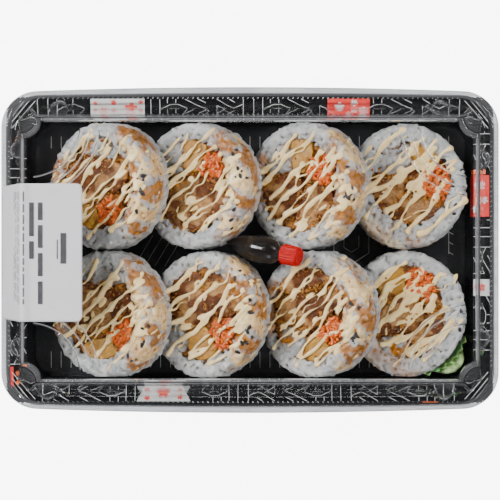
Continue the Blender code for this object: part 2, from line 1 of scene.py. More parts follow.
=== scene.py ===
"""A shut takeaway sushi tray: printed black tray, clear ridged lid, paper label, eight chicken rolls
dressed with mayonnaise, brown glaze and black sesame, a sauce bottle, a plastic leaf and wasabi.
Lengths are in metres, +Z is up and +X runs along the tray. Most shapes are worked out in
millimetres, as whole arrays, and scaled when the mesh is made."""

import math
import random
from collections import namedtuple

import bpy
import numpy as np
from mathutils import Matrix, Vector


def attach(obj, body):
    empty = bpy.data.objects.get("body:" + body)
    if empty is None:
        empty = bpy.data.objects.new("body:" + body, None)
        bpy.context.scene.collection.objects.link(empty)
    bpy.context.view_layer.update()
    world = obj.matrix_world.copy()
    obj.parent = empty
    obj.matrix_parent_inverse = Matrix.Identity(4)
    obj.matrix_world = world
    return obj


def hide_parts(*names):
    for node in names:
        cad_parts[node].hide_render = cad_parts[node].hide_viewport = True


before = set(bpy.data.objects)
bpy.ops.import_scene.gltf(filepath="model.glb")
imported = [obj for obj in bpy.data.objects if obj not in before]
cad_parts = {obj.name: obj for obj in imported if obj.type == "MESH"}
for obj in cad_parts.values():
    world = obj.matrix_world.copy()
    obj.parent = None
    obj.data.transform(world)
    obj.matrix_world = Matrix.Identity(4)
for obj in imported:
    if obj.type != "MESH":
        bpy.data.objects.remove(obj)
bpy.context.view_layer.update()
TAU = 2 * math.pi
MM = 0.001

# Tray and lid, ring by ring from the outer edge inwards, in mm: half length, half width, height,
# corner radius (negative for a hollow corner) and how far the long sides bow out.
TRAY_RINGS = np.array([
    (115.7, 73.0, 17.2, 15, 1.2),
    (114.9, 72.2, 20.0, 15, 1.2),
    (112.2, 69.6, 20.2, 13, 1.0),
    (111.6, 69.0, 18.6, 13, 1.0),
    (108.2, 64.4, 18.6, 12, 0.0),
    (107.4, 63.4, 17.8, 12, 0.0),
    (105.8, 61.8, 1.6, 11, 0.0),
    (104.8, 60.9, 0.5, 10, 0.0),
])
PANEL_MARGIN = 1.2
LID_RINGS = np.array([
    (120.0, 76.0, 16.6, 17, 2.6),
    (119.4, 75.4, 17.4, 17, 2.6),
    (117.4, 74.4, 17.4, 16, 1.4),
    (117.1, 74.0, 20.8, 16, 1.3),
    (116.2, 73.2, 21.1, 15, 1.2),
    (112.6, 69.8, 21.1, 13, 1.0),
    (111.4, 68.6, 22.0, 12, 0.8),
    (110.8, 67.8, 23.4, -5, 0.3),
    (105.8, 61.4, 49.4, -7, 0.0),
    (105.2, 60.8, 51.2, -7, 0.0),
    (104.0, 59.6, 51.7, -7.6, 0.0),
    (102.6, 58.2, 50.7, -8.4, 0.0),
])
WALL = 0.5

# The rolls, in mm and degrees, as they stand in the tray.
ROLL_LENGTH = 57.0
ROLL_WIDTH = 60.0
ROLL_HEIGHT = 19.5
ROW_Y = 30.55
ROW_END_X = 104.4
ROLL_GROUND = 0.8
LEAN_GAP = 0.6
FLOOR_TOP = 0.5
NORI_GAP = 0.3
NORI = 0.6
FILLING_DROP = 1.3
FILLING_SPREAD = 0.57
PART_SEED = 11
Filling = namedtuple("Filling", "kind along across length width turn")
Roll = namedtuple("Roll", "name row tilt hollow shift fillings")
ROLLS = (
    Roll("roll_1", 1, 29.0, (20.4, 22.6), (-1.6, 0.2), (
        Filling("core_rice", 2, 18, 20, 11, 0),
        Filling("chicken_a", -1, 4, 34, 22, 35),
        Filling("carrot", 5, -12, 13, 12, 20),
        Filling("pickle", -7, -15, 13, 12, 30),
    )),
    Roll("roll_2", 1, 23.0, (20.6, 23.0), (-1.6, 0.2), (
        Filling("core_rice", -12, 14, 15, 17, 30),
        Filling("pickle", 0, 14, 13, 15, 70),
        Filling("carrot", 10, 10, 11, 22, -20),
        Filling("chicken_a", -1, -10, 36, 24, 30),
    )),
    Roll("roll_3", 1, 26.5, (20.4, 23.0), (-1.6, 0.2), (
        Filling("core_rice", -12, 14, 14, 17, 20),
        Filling("pickle", 0, 15, 10, 17, 0),
        Filling("carrot", 11, 8, 15, 14, -20),
        Filling("chicken_a", -9, -5, 20, 20, 25),
        Filling("chicken_b", 7, -11, 20, 22, 35),
    )),
    Roll("roll_4", 1, 0.0, (20.4, 20.4), (1.2, 1.4), (
        Filling("core_rice", -8, 13, 22, 13, 30),
        Filling("pickle", 8, 15, 11, 9, -35),
        Filling("carrot", 14, 1, 13, 18, 10),
        Filling("chicken_a", -10, -2, 18, 17, 35),
        Filling("chicken_b", 3, -12, 24, 16, 25),
    )),
    Roll("roll_5", 2, 26.0, (20.4, 22.6), (-1.6, 0.2), (
        Filling("core_rice", 0, 19, 24, 9, 0),
        Filling("chicken_a", -3, 4, 32, 24, 15),
        Filling("carrot", 11, -9, 12, 13, 40),
        Filling("pickle", -1, -17, 18, 10, 10),
    )),
    Roll("roll_6", 2, 22.5, (20.6, 23.2), (-1.6, 0.0), (
        Filling("chicken_a", -8, 8, 20, 24, 20),
        Filling("chicken_b", 9, 10, 18, 22, 15),
        Filling("carrot", 11, -9, 13, 14, 20),
        Filling("pickle", -1, -14, 12, 14, 30),
        Filling("core_rice", -14, -11, 10, 14, 20),
    )),
    Roll("roll_7", 2, 31.0, (20.6, 23.4), (-1.6, 0.0), (
        Filling("chicken_b", -4, 17, 26, 12, 10),
        Filling("chicken_a", -1, 3, 34, 16, 20),
        Filling("carrot", 11, -8, 12, 13, 10),
        Filling("pickle", 3, -16, 12, 13, 35),
        Filling("core_rice", -10, -13, 13, 12, 20),
    )),
    Roll("roll_8", 2, 0.0, (19.6, 23.8), (-0.4, 0.6), (
        Filling("pickle", -8, 16, 12, 15, 5),
        Filling("carrot", 7, 15, 17, 14, 30),
        Filling("chicken_a", -6, -1, 24, 16, 35),
        Filling("chicken_b", 8, -7, 16, 20, 35),
        Filling("core_rice", -7, -17, 18, 11, 15),
    )),
)

# The rice ring's cross-section: share of the way out from the hollow to the rim, and height in mm.
RING_SHARES = np.array([0.0, 0.45, 0.84, 1.0, 1.0, 0.86])
RING_HEIGHTS = np.array([18.6, 19.5, 18.8, 16.5, 2.6, 0.3])


# Arrays and meshes

def smooth_step(values, low, high):
    """0 below low, 1 above high, and a smooth rise between them."""
    share = np.clip((values - low) / (high - low), 0.0, 1.0)
    return share * share * (3 - 2 * share)


def noise(points, size, seed):
    """Value noise from 0 to 1: a random number at each corner of a cubic lattice of that size,
    blended smoothly between the eight corners round a point."""
    scaled = np.asarray(points, float) / size + seed * 17.31
    cell = np.floor(scaled).astype(np.int64)
    share = scaled - cell
    share = share * share * (3 - 2 * share)
    total = 0.0
    for corner in range(8):
        step = np.array([corner & 1, corner >> 1 & 1, corner >> 2 & 1])
        key = (cell + step) @ np.array([73856093, 19349663, 83492791])
        mixed = (key ^ (key >> 13)) * 1274126177 + seed * 7919
        value = ((mixed ^ (mixed >> 16)) & 0xFFFF) / 65535.0
        weight = np.prod(np.where(step == 1, share, 1 - share), axis=-1)
        total = total + value * weight
    return total


def layered_noise(points, size, seed, layers=3):
    """Noise in layers, each half the size and half the strength of the one before, from 0 to 1."""
    total, strength = 0.0, 0.0
    for layer in range(layers):
        total = total + noise(points, size / 2**layer, seed + layer) / 2**layer
        strength += 1 / 2**layer
    return total / strength


def set_attribute(mesh, name, values):
    """One value of this name for each point of a mesh."""
    layer = mesh.attributes.new(name, "FLOAT", "POINT")
    layer.data.foreach_set("value", np.asarray(values, np.float32).ravel())


def mesh_piece(name, points, faces, finish, slot, attributes=None, smooth=True):
    """An object of these points, in mm, and faces, an array of corners or a list of such arrays.
    Each attribute is one number for each point."""
    groups = faces if isinstance(faces, list) else [faces]
    mesh = bpy.data.meshes.new(name)
    mesh.vertices.add(len(points))
    mesh.vertices.foreach_set("co", (np.asarray(points, float) * MM).astype(np.float32).ravel())
    corners = np.concatenate([group.ravel() for group in groups]).astype(np.int32)
    sizes = np.concatenate([np.full(len(group), group.shape[1]) for group in groups])
    mesh.loops.add(len(corners))
    mesh.loops.foreach_set("vertex_index", corners)
    mesh.polygons.add(len(sizes))
    starts = np.concatenate(([0], np.cumsum(sizes)[:-1])).astype(np.int32)
    mesh.polygons.foreach_set("loop_start", starts)
    mesh.update(calc_edges=True)
    mesh.validate()
    if smooth:
        mesh.shade_smooth()
    for key, values in (attributes or {}).items():
        set_attribute(mesh, key, values)
    made = bpy.data.objects.new(name, mesh)
    bpy.context.scene.collection.objects.link(made)
    if finish is not None:
        mesh.materials.append(FINISH[finish])
    if slot is not None:
        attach(made, "root")
    return made


def grid_faces(rows, columns, wrap_rows=False, wrap_columns=False):
    """Four corners of each cell of a grid whose points are numbered row by row."""
    row = np.arange(rows if wrap_rows else rows - 1)[:, None]
    column = np.arange(columns if wrap_columns else columns - 1)[None, :]
    after_row = (row + 1) % rows
    after_column = (column + 1) % columns
    cells = np.stack([
        row * columns + column,
        row * columns + after_column,
        after_row * columns + after_column,
        after_row * columns + column,
    ], axis=-1)
    return cells.reshape(-1, 4)


def end_fans(rows, columns):
    """Triangles that close a grid of rings at its first and its last row, each towards one of the two
    points that follow the grid's own."""
    here = np.arange(columns)
    after = (here + 1) % columns
    last = (rows - 1) * columns
    first_end = np.stack([after, here, np.full(columns, rows * columns)], axis=1)
    last_end = np.stack([here + last, after + last, np.full(columns, rows * columns + 1)], axis=1)
    return np.concatenate([first_end, last_end])


def capped(rows):
    """Points and faces of a closed form from rings (rows, columns, 3), listed from the bottom up and
    each running counter-clockwise: the rings are joined, and each end meets in its ring's middle."""
    count, columns = rows.shape[:2]
    points = np.concatenate([
        rows.reshape(-1, 3),
        rows[0].mean(0)[None],
        rows[-1].mean(0)[None],
    ])
    return points, [grid_faces(count, columns, wrap_columns=True), end_fans(count, columns)]


def copies(points, faces, count):
    """The faces of count copies of one small form whose points follow one another."""
    offset = np.arange(count)[:, None, None] * points
    return (faces[None] + offset).reshape(-1, faces.shape[1])


def joined(parts):
    """One list of points and faces from several (points, list of faces)."""
    points, groups, start = [], [], 0
    for part_points, part_faces in parts:
        points.append(part_points)
        groups += [group + start for group in part_faces]
        start += len(part_points)
    return np.concatenate(points), groups


def swept(path, across, width, height, sides):
    """Tubes along paths (k, n, 3): each cross-section is an oval, width across and height along the
    direction that is square to the path and to across. Both ends close in a point."""
    count, stations = path.shape[:2]
    along = np.gradient(path, axis=1)
    along /= np.linalg.norm(along, axis=2, keepdims=True) + 1e-12
    across = across - along * (across * along).sum(2, keepdims=True)
    across /= np.linalg.norm(across, axis=2, keepdims=True) + 1e-12
    upward = np.cross(along, across)
    angle = np.arange(sides) * TAU / sides
    rim = (
        across[:, :, None] * np.cos(angle)[:, None] * width[:, :, None, None]
        + upward[:, :, None] * np.sin(angle)[:, None] * height[:, :, None, None]
    )
    rings = path[:, :, None] + rim
    points = np.concatenate([rings.reshape(count, -1, 3), path[:, :1], path[:, -1:]], axis=1)
    size = stations * sides + 2
    quads = copies(size, grid_faces(stations, sides, wrap_columns=True), count)
    caps = copies(size, end_fans(stations, sides), count)
    return points.reshape(-1, 3), [quads, caps]


def strewn(form, faces, centres, along, upward, sizes):
    """Copies of a small form (v, 3) at each centre, its +X turned along and its +Z upward."""
    along = along / np.linalg.norm(along, axis=1, keepdims=True)
    beside = np.cross(upward, along)
    beside /= np.linalg.norm(beside, axis=1, keepdims=True) + 1e-12
    upward = np.cross(along, beside)
    scaled = form[None] * sizes[:, None]
    points = centres[:, None] + (
        scaled[..., :1] * along[:, None]
        + scaled[..., 1:2] * beside[:, None]
        + scaled[..., 2:] * upward[:, None]
    )
    groups = [copies(len(form), group, len(centres)) for group in faces]
    return points.reshape(-1, 3), groups


def ball(columns, rows):
    """A closed oval form of half length 1: rings round the X axis whose radius is a half circle."""
    angle = (np.arange(rows) + 1) / (rows + 1) * math.pi
    turn = np.arange(columns) * TAU / columns
    rings = np.stack([
        np.broadcast_to(-np.cos(angle)[:, None], (rows, columns)),
        np.sin(angle)[:, None] * np.cos(turn),
        np.sin(angle)[:, None] * np.sin(turn),
    ], axis=-1)
    points, faces = capped(rings)
    points[-2] = (-1.0, 0.0, 0.0)
    points[-1] = (1.0, 0.0, 0.0)
    return points, faces


# Materials

def value_of(tree, socket, given):
    """Sets a socket to a number or colour, or links another socket to it."""
    if isinstance(given, bpy.types.NodeSocket):
        tree.links.new(given, socket)
    else:
        socket.default_value = given


def node(tree, kind, inputs=(), **settings):
    """A shader node with its settings and its inputs, by name or number."""
    made = tree.nodes.new(kind)
    for key, value in settings.items():
        setattr(made, key, value)
    for key, value in dict(inputs).items():
        value_of(tree, made.inputs[key], value)
    return made


def maths(tree, operation, first, second=0.0):
    """One step of arithmetic on two sockets or numbers."""
    return node(tree, "ShaderNodeMath", {0: first, 1: second}, operation=operation).outputs[0]


def mixed(tree, share, first, second):
    """A blend of two colours."""
    made = tree.nodes.new("ShaderNodeMix")
    made.data_type = "RGBA"
    value_of(tree, made.inputs[0], share)
    value_of(tree, made.inputs[6], first)
    value_of(tree, made.inputs[7], second)
    return made.outputs[2]


def in_range(tree, value, low, high, low_out=0.0, high_out=1.0):
    """The value carried from the range low to high into another range, and held at its ends."""
    made = node(tree, "ShaderNodeMapRange", {
        "Value": value,
        "From Min": low,
        "From Max": high,
        "To Min": low_out,
        "To Max": high_out,
    })
    return made.outputs[0]


def attribute(tree, name):
    """The piece's own value of this name at each point."""
    return node(tree, "ShaderNodeAttribute", attribute_name=name).outputs["Fac"]


def new_group(name, inputs, outputs):
    """An empty shader group with float sockets of these names."""
    group = bpy.data.node_groups.new(name, "ShaderNodeTree")
    for key, value in inputs.items():
        socket = group.interface.new_socket(key, in_out="INPUT", socket_type="NodeSocketFloat")
        socket.default_value = value
    for key in outputs:
        group.interface.new_socket(key, in_out="OUTPUT", socket_type="NodeSocketFloat")
    return group, group.nodes.new("NodeGroupInput").outputs, group.nodes.new("NodeGroupOutput").inputs


def mottle_group():
    """Soft patches of one size: a mask from 0 to 1 with a chosen edge, and the noise itself."""
    group, given, out = new_group("mottle", {"Size mm": 2.0, "Low": 0.4, "High": 0.6}, ["Mask", "Raw"])
    place = node(group, "ShaderNodeTexCoord").outputs["Object"]
    scale = maths(group, "DIVIDE", 1000.0, given["Size mm"])
    cloud = node(group, "ShaderNodeTexNoise", {"Vector": place, "Scale": scale, "Detail": 3.0})
    mask = in_range(group, cloud.outputs[0], given["Low"], given["High"])
    group.links.new(mask, out["Mask"])
    group.links.new(cloud.outputs[0], out["Raw"])
    return group


def relief_group():
    """Fine relief: soft waves of one size with pits of a third of that size, as a height."""
    group, given, out = new_group("relief", {"Size mm": 1.0, "Pits": 0.4}, ["Height"])
    place = node(group, "ShaderNodeTexCoord").outputs["Object"]
    scale = maths(group, "DIVIDE", 1000.0, given["Size mm"])
    waves = node(group, "ShaderNodeTexNoise", {"Vector": place, "Scale": scale, "Detail": 2.0})
    finer = maths(group, "MULTIPLY", scale, 3.0)
    pits = node(group, "ShaderNodeTexVoronoi", {"Vector": place, "Scale": finer})
    part = maths(group, "MULTIPLY", pits.outputs["Distance"], given["Pits"])
    group.links.new(maths(group, "ADD", waves.outputs[0], part), out["Height"])
    return group


def placed_group(tree, group, **inputs):
    """The outputs of a shared shader group placed with these values, an underscore for a space."""
    made = tree.nodes.new("ShaderNodeGroup")
    made.node_tree = group
    for key, value in inputs.items():
        value_of(tree, made.inputs[key.replace("_", " ")], value)
    return made.outputs


def blank(name):
    """A new material, its node tree and its Principled shader."""
    made = bpy.data.materials.new(name)
    made.use_nodes = True
    return made, made.node_tree, made.node_tree.nodes["Principled BSDF"].inputs


def bumped(tree, shader, height, distance_mm):
    """Feeds a height of up to that distance through a Bump node into the shader."""
    bump = node(tree, "ShaderNodeBump", {
        "Height": height,
        "Distance": distance_mm * MM,
    })
    tree.links.new(bump.outputs[0], shader["Normal"])


def surfaced(tree, shader, tone, roughness):
    """Gives the shader its colour and its roughness, each a value or a socket."""
    value_of(tree, shader["Base Color"], tone)
    value_of(tree, shader["Roughness"], roughness)


def patches_of(tree, size_mm, low, high):
    """A mask of soft patches of one size, whose edge lies between two levels of the noise."""
    return placed_group(tree, MOTTLE, Size_mm=size_mm, Low=low, High=high)["Mask"]


def roughened(tree, shader, size_mm, pits, depth_mm):
    """Fine relief of one size and depth on the shader."""
    height = placed_group(tree, RELIEF, Size_mm=size_mm, Pits=pits)["Height"]
    bumped(tree, shader, height, depth_mm)


def translucent(shader, weight, radii, reach_mm):
    """Lets light into the shader's surface, with a share, a reach for red, green and blue, and a
    scale."""
    shader["Subsurface Weight"].default_value = weight
    shader["Subsurface Radius"].default_value = radii
    shader["Subsurface Scale"].default_value = reach_mm * MM


def colour(red, green, blue):
    """A colour as read off a screen, 0 to 255, in the linear values that shaders take."""
    share = np.array([red, green, blue]) / 255
    linear = np.where(share <= 0.04045, share / 12.92, ((share + 0.055) / 1.055) ** 2.4)
    return (*(float(value) for value in linear), 1.0)


def rice_finish():
    """Cooked rice: off-white and slightly grey, stained amber where glaze has run ("glaze"), cream
    where mayonnaise coats it ("coat"), moist all over, darkened by painted shade in its crevices
    and on the low side of leaning rolls."""
    made, tree, shader = blank("rice")
    patches = patches_of(tree, 5.0, 0.35, 0.7)
    base = mixed(tree, patches, colour(142, 143, 143), colour(176, 175, 171))
    # Painted shade: the rice darkens towards a deep brown-grey in its crevices and on the low side of
    # leaning rolls.
    depth = attribute(tree, "depth")
    base = mixed(tree, depth, base, colour(62, 56, 48))
    cream = mixed(tree, patches, colour(204, 152, 72), colour(228, 196, 130))
    # The cream coat takes the same painted shade, darkening towards brown.
    cream = mixed(tree, maths(tree, "MULTIPLY", depth, 0.7), cream, colour(116, 66, 14))
    base = mixed(tree, attribute(tree, "coat"), base, cream)
    stain = patches_of(tree, 3.0, 0.3, 0.75)
    amber = mixed(tree, stain, colour(172, 106, 16), colour(104, 54, 4))
    base = mixed(tree, attribute(tree, "glaze"), base, amber)
    surfaced(tree, shader, base, in_range(tree, attribute(tree, "glaze"), 0.0, 1.0, 0.42, 0.16))
    translucent(shader, 0.12, (1.0, 0.8, 0.6), 1.5)
    roughened(tree, shader, 0.9, 0.3, 0.12)
    return made


def mayo_finish():
    """Mayonnaise: glossy cream in soft patches of two tones."""
    made, tree, shader = blank("mayonnaise")
    patches = patches_of(tree, 4.0, 0.35, 0.7)
    base = mixed(tree, patches, colour(214, 184, 124), colour(232, 206, 152))
    surfaced(tree, shader, base, 0.3)
    translucent(shader, 0.15, (1.0, 0.8, 0.5), 1.2)
    roughened(tree, shader, 1.6, 0.1, 0.10)
    return made


def chicken_finish():
    """Fried chicken: pale meat inside, a golden to brown crumb at the edge ("crust") and dark glossy
    glaze in patches ("glaze")."""
    made, tree, shader = blank("chicken")
    fibre = patches_of(tree, 1.6, 0.3, 0.7)
    meat = mixed(tree, fibre, colour(126, 78, 28), colour(170, 124, 66))
    toast = patches_of(tree, 1.1, 0.38, 0.62)
    crumb = mixed(tree, toast, colour(96, 46, 0), colour(190, 122, 16))
    base = mixed(tree, attribute(tree, "crust"), meat, crumb)
    dark = patches_of(tree, 2.4, 0.3, 0.7)
    sauce = mixed(tree, dark, colour(66, 28, 4), colour(104, 54, 18))
    base = mixed(tree, attribute(tree, "glaze"), base, sauce)
    surfaced(tree, shader, base, in_range(tree, attribute(tree, "glaze"), 0.0, 1.0, 0.5, 0.2))
    roughened(tree, shader, 0.8, 0.8, 0.22)
    return made


def moist_finish(name, first, second, size_mm, speck, roughness, relief_mm):
    """A moist vegetable or paste: two tones in soft patches, finely speckled with a third."""
    made, tree, shader = blank(name)
    patches = patches_of(tree, size_mm, 0.35, 0.65)
    base = mixed(tree, patches, first, second)
    specks = patches_of(tree, 0.5, 0.6, 0.72)
    base = mixed(tree, maths(tree, "MULTIPLY", specks, 0.6), base, speck)
    surfaced(tree, shader, base, roughness)
    roughened(tree, shader, 1.0, 0.4, relief_mm)
    return made


def plastic_finish(name, first, second, roughness, size_mm, relief_mm, gloss=0.5):
    """Pressed or moulded plastic: a faint change of tone and a faint unevenness of the surface."""
    made, tree, shader = blank(name)
    patches = placed_group(tree, MOTTLE, Size_mm=size_mm, Low=0.3, High=0.7)
    rough = in_range(tree, patches["Raw"], 0.0, 1.0, roughness * 0.8, roughness * 1.25)
    surfaced(tree, shader, mixed(tree, patches["Mask"], first, second), rough)
    shader["Specular IOR Level"].default_value = gloss
    roughened(tree, shader, size_mm / 3, 0.2, relief_mm)
    return made


def ink_finish(name, first, second):
    """Ink on the tray: two near tones, hardly any relief."""
    return plastic_finish(name, first, second, 0.4, 5.0, 0.01)


def black_finish():
    """Black pressed plastic, glossy: a little paler on the floor than on the rim, by height."""
    made, tree, shader = blank("black_plastic")
    patches = placed_group(tree, MOTTLE, Size_mm=14.0, Low=0.3, High=0.7)
    place = node(tree, "ShaderNodeTexCoord").outputs["Object"]
    height = node(tree, "ShaderNodeSeparateXYZ", {0: place}).outputs["Z"]
    # Floor tone below 2 mm of height, rim tone above 9 mm, blended between.
    film = in_range(tree, height, 2.0 * MM, 9.0 * MM, 1.0, 0.0)
    rim = mixed(tree, patches["Mask"], colour(15, 15, 17), colour(21, 21, 23))
    floor = mixed(tree, patches["Mask"], colour(38, 38, 40), colour(52, 52, 54))
    rough = in_range(tree, patches["Raw"], 0.0, 1.0, 0.18, 0.3)
    surfaced(tree, shader, mixed(tree, film, rim, floor), rough)
    shader["Specular IOR Level"].default_value = 0.35
    roughened(tree, shader, 5.0, 0.2, 0.03)
    return made


def clear_finish():
    """Clear plastic: glass that casts next to no shadow, its surface faintly uneven."""
    made, tree, shader = blank("clear_plastic")
    cloud = placed_group(tree, MOTTLE, Size_mm=22.0, Low=0.0, High=1.0)
    base = mixed(tree, cloud["Mask"], colour(248, 249, 250), colour(253, 253, 253))
    surfaced(tree, shader, base, in_range(tree, cloud["Raw"], 0.0, 1.0, 0.01, 0.04))
    shader["Transmission Weight"].default_value = 1.0
    shader["IOR"].default_value = 1.33
    bumped(tree, shader, cloud["Raw"], 0.04)
    principled = tree.nodes["Principled BSDF"].outputs[0]
    through = node(tree, "ShaderNodeBsdfTransparent", {"Color": colour(248, 249, 250)}).outputs[0]
    light = node(tree, "ShaderNodeLightPath").outputs["Is Shadow Ray"]
    blend = node(tree, "ShaderNodeMixShader", {0: light, 1: principled, 2: through})
    tree.links.new(blend.outputs[0], tree.nodes["Material Output"].inputs["Surface"])
    return made


def frosted_finish():
    """The flange's frosted plastic, matt and cloudy, with fine ticks across its edge; the same pale
    cloudy plastic paints highlight lines on the ridge and the arcs' crests, which the ticks' whitening
    brightens further as a painted highlight."""
    made, tree, shader = blank("frosted_plastic")
    cloud = placed_group(tree, MOTTLE, Size_mm=9.0, Low=0.3, High=0.7)
    base = mixed(tree, cloud["Mask"], colour(186, 187, 190), colour(196, 197, 200))
    tick = attribute(tree, "tick")
    # Whiter where ticked: the flange's knurl ticks, and a painted highlight on the arcs' crests.
    base = mixed(tree, maths(tree, "MULTIPLY", tick, 0.35), base, colour(236, 236, 238))
    surfaced(tree, shader, base, 0.4)
    tree.links.new(maths(tree, "MULTIPLY", attribute(tree, "frost"), 0.82), shader["Alpha"])
    bumped(tree, shader, maths(tree, "ADD", cloud["Raw"], tick), 0.15)
    return made


def leaf_finish():
    """Thin green film that lets some light through."""
    made, tree, shader = blank("leaf_film")
    patches = patches_of(tree, 6.0, 0.3, 0.7)
    base = mixed(tree, patches, colour(126, 186, 100), colour(150, 202, 126))
    surfaced(tree, shader, base, 0.3)
    shader["Subsurface Weight"].default_value = 0.2
    shader["Subsurface Scale"].default_value = 1.0 * MM
    roughened(tree, shader, 2.5, 0.1, 0.1)
    return made


MOTTLE = mottle_group()
RELIEF = relief_group()
FINISH = {
    "rice": rice_finish(),
    "mayo": mayo_finish(),
    "chicken": chicken_finish(),
    "clear": clear_finish(),
    "frosted": frosted_finish(),
    "leaf": leaf_finish(),
    "carrot": moist_finish(
        "carrot", colour(184, 68, 0), colour(202, 96, 0), 2.2, colour(134, 36, 0), 0.35, 0.1
    ),
    "pickle": moist_finish(
        "pickle", colour(142, 94, 0), colour(168, 118, 4), 3.0, colour(104, 64, 0), 0.5, 0.08
    ),
    "wasabi": moist_finish(
        "wasabi", colour(150, 180, 108), colour(178, 202, 142), 2.5, colour(112, 150, 76), 0.5, 0.25
    ),
    "nori": plastic_finish("nori", colour(18, 20, 18), colour(34, 36, 30), 0.42, 2.0, 0.12),
    "sesame": plastic_finish("sesame", colour(16, 15, 17), colour(36, 33, 36), 0.35, 1.0, 0.05),
    "black": black_finish(),
    "ink_line": ink_finish("pale_ink_lines", colour(168, 168, 165), colour(190, 190, 187)),
    "ink_pale": ink_finish("pale_ink", colour(166, 165, 161), colour(184, 183, 179)),
    "ink_red": ink_finish("red_ink", colour(176, 34, 26), colour(194, 48, 40)),
    "ink_orange": ink_finish("orange_ink", colour(208, 78, 16), colour(220, 100, 30)),
    "paper": plastic_finish("label_paper", colour(248, 247, 252), colour(252, 251, 255), 0.5, 9.0, 0.03),
    "print": plastic_finish("label_print", colour(76, 76, 80), colour(92, 92, 96), 0.6, 4.0, 0.01),
    "cap": plastic_finish("cap_plastic", colour(150, 0, 0), colour(164, 0, 0), 0.3, 3.0, 0.03, 0.12),
    "sauce": plastic_finish("soy_sauce_bottle", colour(18, 15, 14), colour(30, 26, 24), 0.12, 5.0, 0.05),
}


# Tray and lid

def side_shares(side_steps, ease):
    """Shares of the way along half a side, from its middle to its corner, closer near the corner."""
    share = np.linspace(0, 1, side_steps + 1)
    return 1 - (1 - share) ** ease


def quarter_outlines(rings, shares, corner_steps):
    """Points (rings, n, 3) of each ring's quarter with x and y above 0, from the middle of the short
    side round the corner to the middle of the long side. A corner is a quarter circle round its own
    centre or, where hollow, round the corner itself; the long side bows out by bow (1 - (x/X)^2)."""
    half_x, half_y, z, corner, bow = rings.T[:, :, None]
    radius = np.abs(corner)
    turn = np.linspace(0, 1, corner_steps + 1)[None] * math.pi / 2
    hollow = corner < 0
    centre_x = half_x - np.where(hollow, 0, radius)
    centre_y = half_y - np.where(hollow, 0, radius)
    angle = np.where(hollow, -math.pi / 2 - turn, turn)
    arc_x = centre_x + radius * np.cos(angle)
    arc_y = centre_y + radius * np.sin(angle)
    up = shares[None, :-1]
    side_x = np.broadcast_to(half_x, (len(rings), len(shares) - 1))
    side_y = (half_y - radius) * up
    back = shares[::-1][None, 1:]
    top_x = (half_x - radius) * back
    top_y = np.broadcast_to(half_y, (len(rings), len(shares) - 1))
    x = np.concatenate([side_x, arc_x, top_x], axis=1)
    y = np.concatenate([side_y, arc_y, top_y], axis=1)
    y = y + bow * (1 - (x / half_x) ** 2) * np.clip(y / (half_y - radius), 0, 1)
    return np.stack([x, y, np.broadcast_to(z, x.shape)], axis=-1)


def full_outlines(quarter):
    """The whole rings, counter-clockwise, from their first quarter by mirroring it."""
    second = quarter[:, ::-1][:, 1:] * np.array([-1, 1, 1])
    third = quarter[:, 1:] * np.array([-1, -1, 1])
    fourth = quarter[:, ::-1][:, 1:-1] * np.array([1, -1, 1])
    return np.concatenate([quarter, second, third, fourth], axis=1)


def rounded_profile(rings, radius, steps):
    """Rings (m, n, 3) through the given ones, with each inner one replaced by a short round bend:
    a quadratic curve between the points a radius before and after it. One more ring on either side
    keeps the long faces flat up to the bend."""
    made = [rings[:1]]
    share = np.linspace(0, 1, steps)[:, None, None]
    for before, here, after in zip(rings, rings[1:], rings[2:]):
        back = np.linalg.norm(before - here, axis=1, keepdims=True)
        ahead = np.linalg.norm(after - here, axis=1, keepdims=True)
        first = here + (before - here) * np.minimum(0.42, radius / back)
        last = here + (after - here) * np.minimum(0.42, radius / ahead)
        guard = here + (before - here) * np.minimum(0.47, (radius + 0.25) / back)
        made.append(guard[None])
        made.append((1 - share) ** 2 * first + 2 * share * (1 - share) * here + share**2 * last)
        made.append((here + (after - here) * np.minimum(0.47, (radius + 0.25) / ahead))[None])
    made.append(rings[-1:])
    return np.concatenate(made)


def two_skins(outer, inner):
    """Points and faces of two skins of the same rings, the inner one facing inwards, with a strip
    between their first rings."""
    count, columns = outer.shape[:2]
    size = count * columns
    here = np.arange(columns)
    after = (here + 1) % columns
    band = grid_faces(count, columns, wrap_columns=True)
    edge = np.stack([after, here, here + size, after + size], axis=1)
    points = np.concatenate([outer.reshape(-1, 3), inner.reshape(-1, 3)])
    return points, [band, band[:, ::-1] + size, edge]


def surface_normals(rows):
    """Normals of a grid of closed rings, of any length: the product of the steps both ways."""
    across = np.roll(rows, -1, axis=1) - np.roll(rows, 1, axis=1)
    return np.cross(across, np.gradient(rows, axis=0))


def with_wall(rings, centre_rings, thickness):
    """A closed sheet: the outer rings with the panel's rings up to its middle, then the same rings
    moved in by the wall's thickness along the surface's own normal, joined round the open edge."""
    rows = np.concatenate([rings, centre_rings])
    normal = surface_normals(rows)
    length = np.linalg.norm(normal, axis=2, keepdims=True)
    normal = np.where(length > 1e-9, normal / np.maximum(length, 1e-9), np.array([0.0, 0.0, 1.0]))
    inner = rows - normal * thickness
    inner[..., 2] = np.maximum(inner[..., 2], 0.0)
    count, columns = rows.shape[:2]
    crown = rows[-1].mean(0)
    size = count * columns
    points, faces = two_skins(rows, inner)
    points = np.concatenate([points, crown[None], (crown - np.array([0, 0, thickness]))[None]])
    here = np.arange(columns) + size - columns
    after = np.roll(here, -1)
    outer_cap = np.stack([here, after, np.full(columns, 2 * size)], axis=1)
    inner_cap = np.stack([after + size, here + size, np.full(columns, 2 * size + 1)], axis=1)
    return points, [*faces, outer_cap, inner_cap]


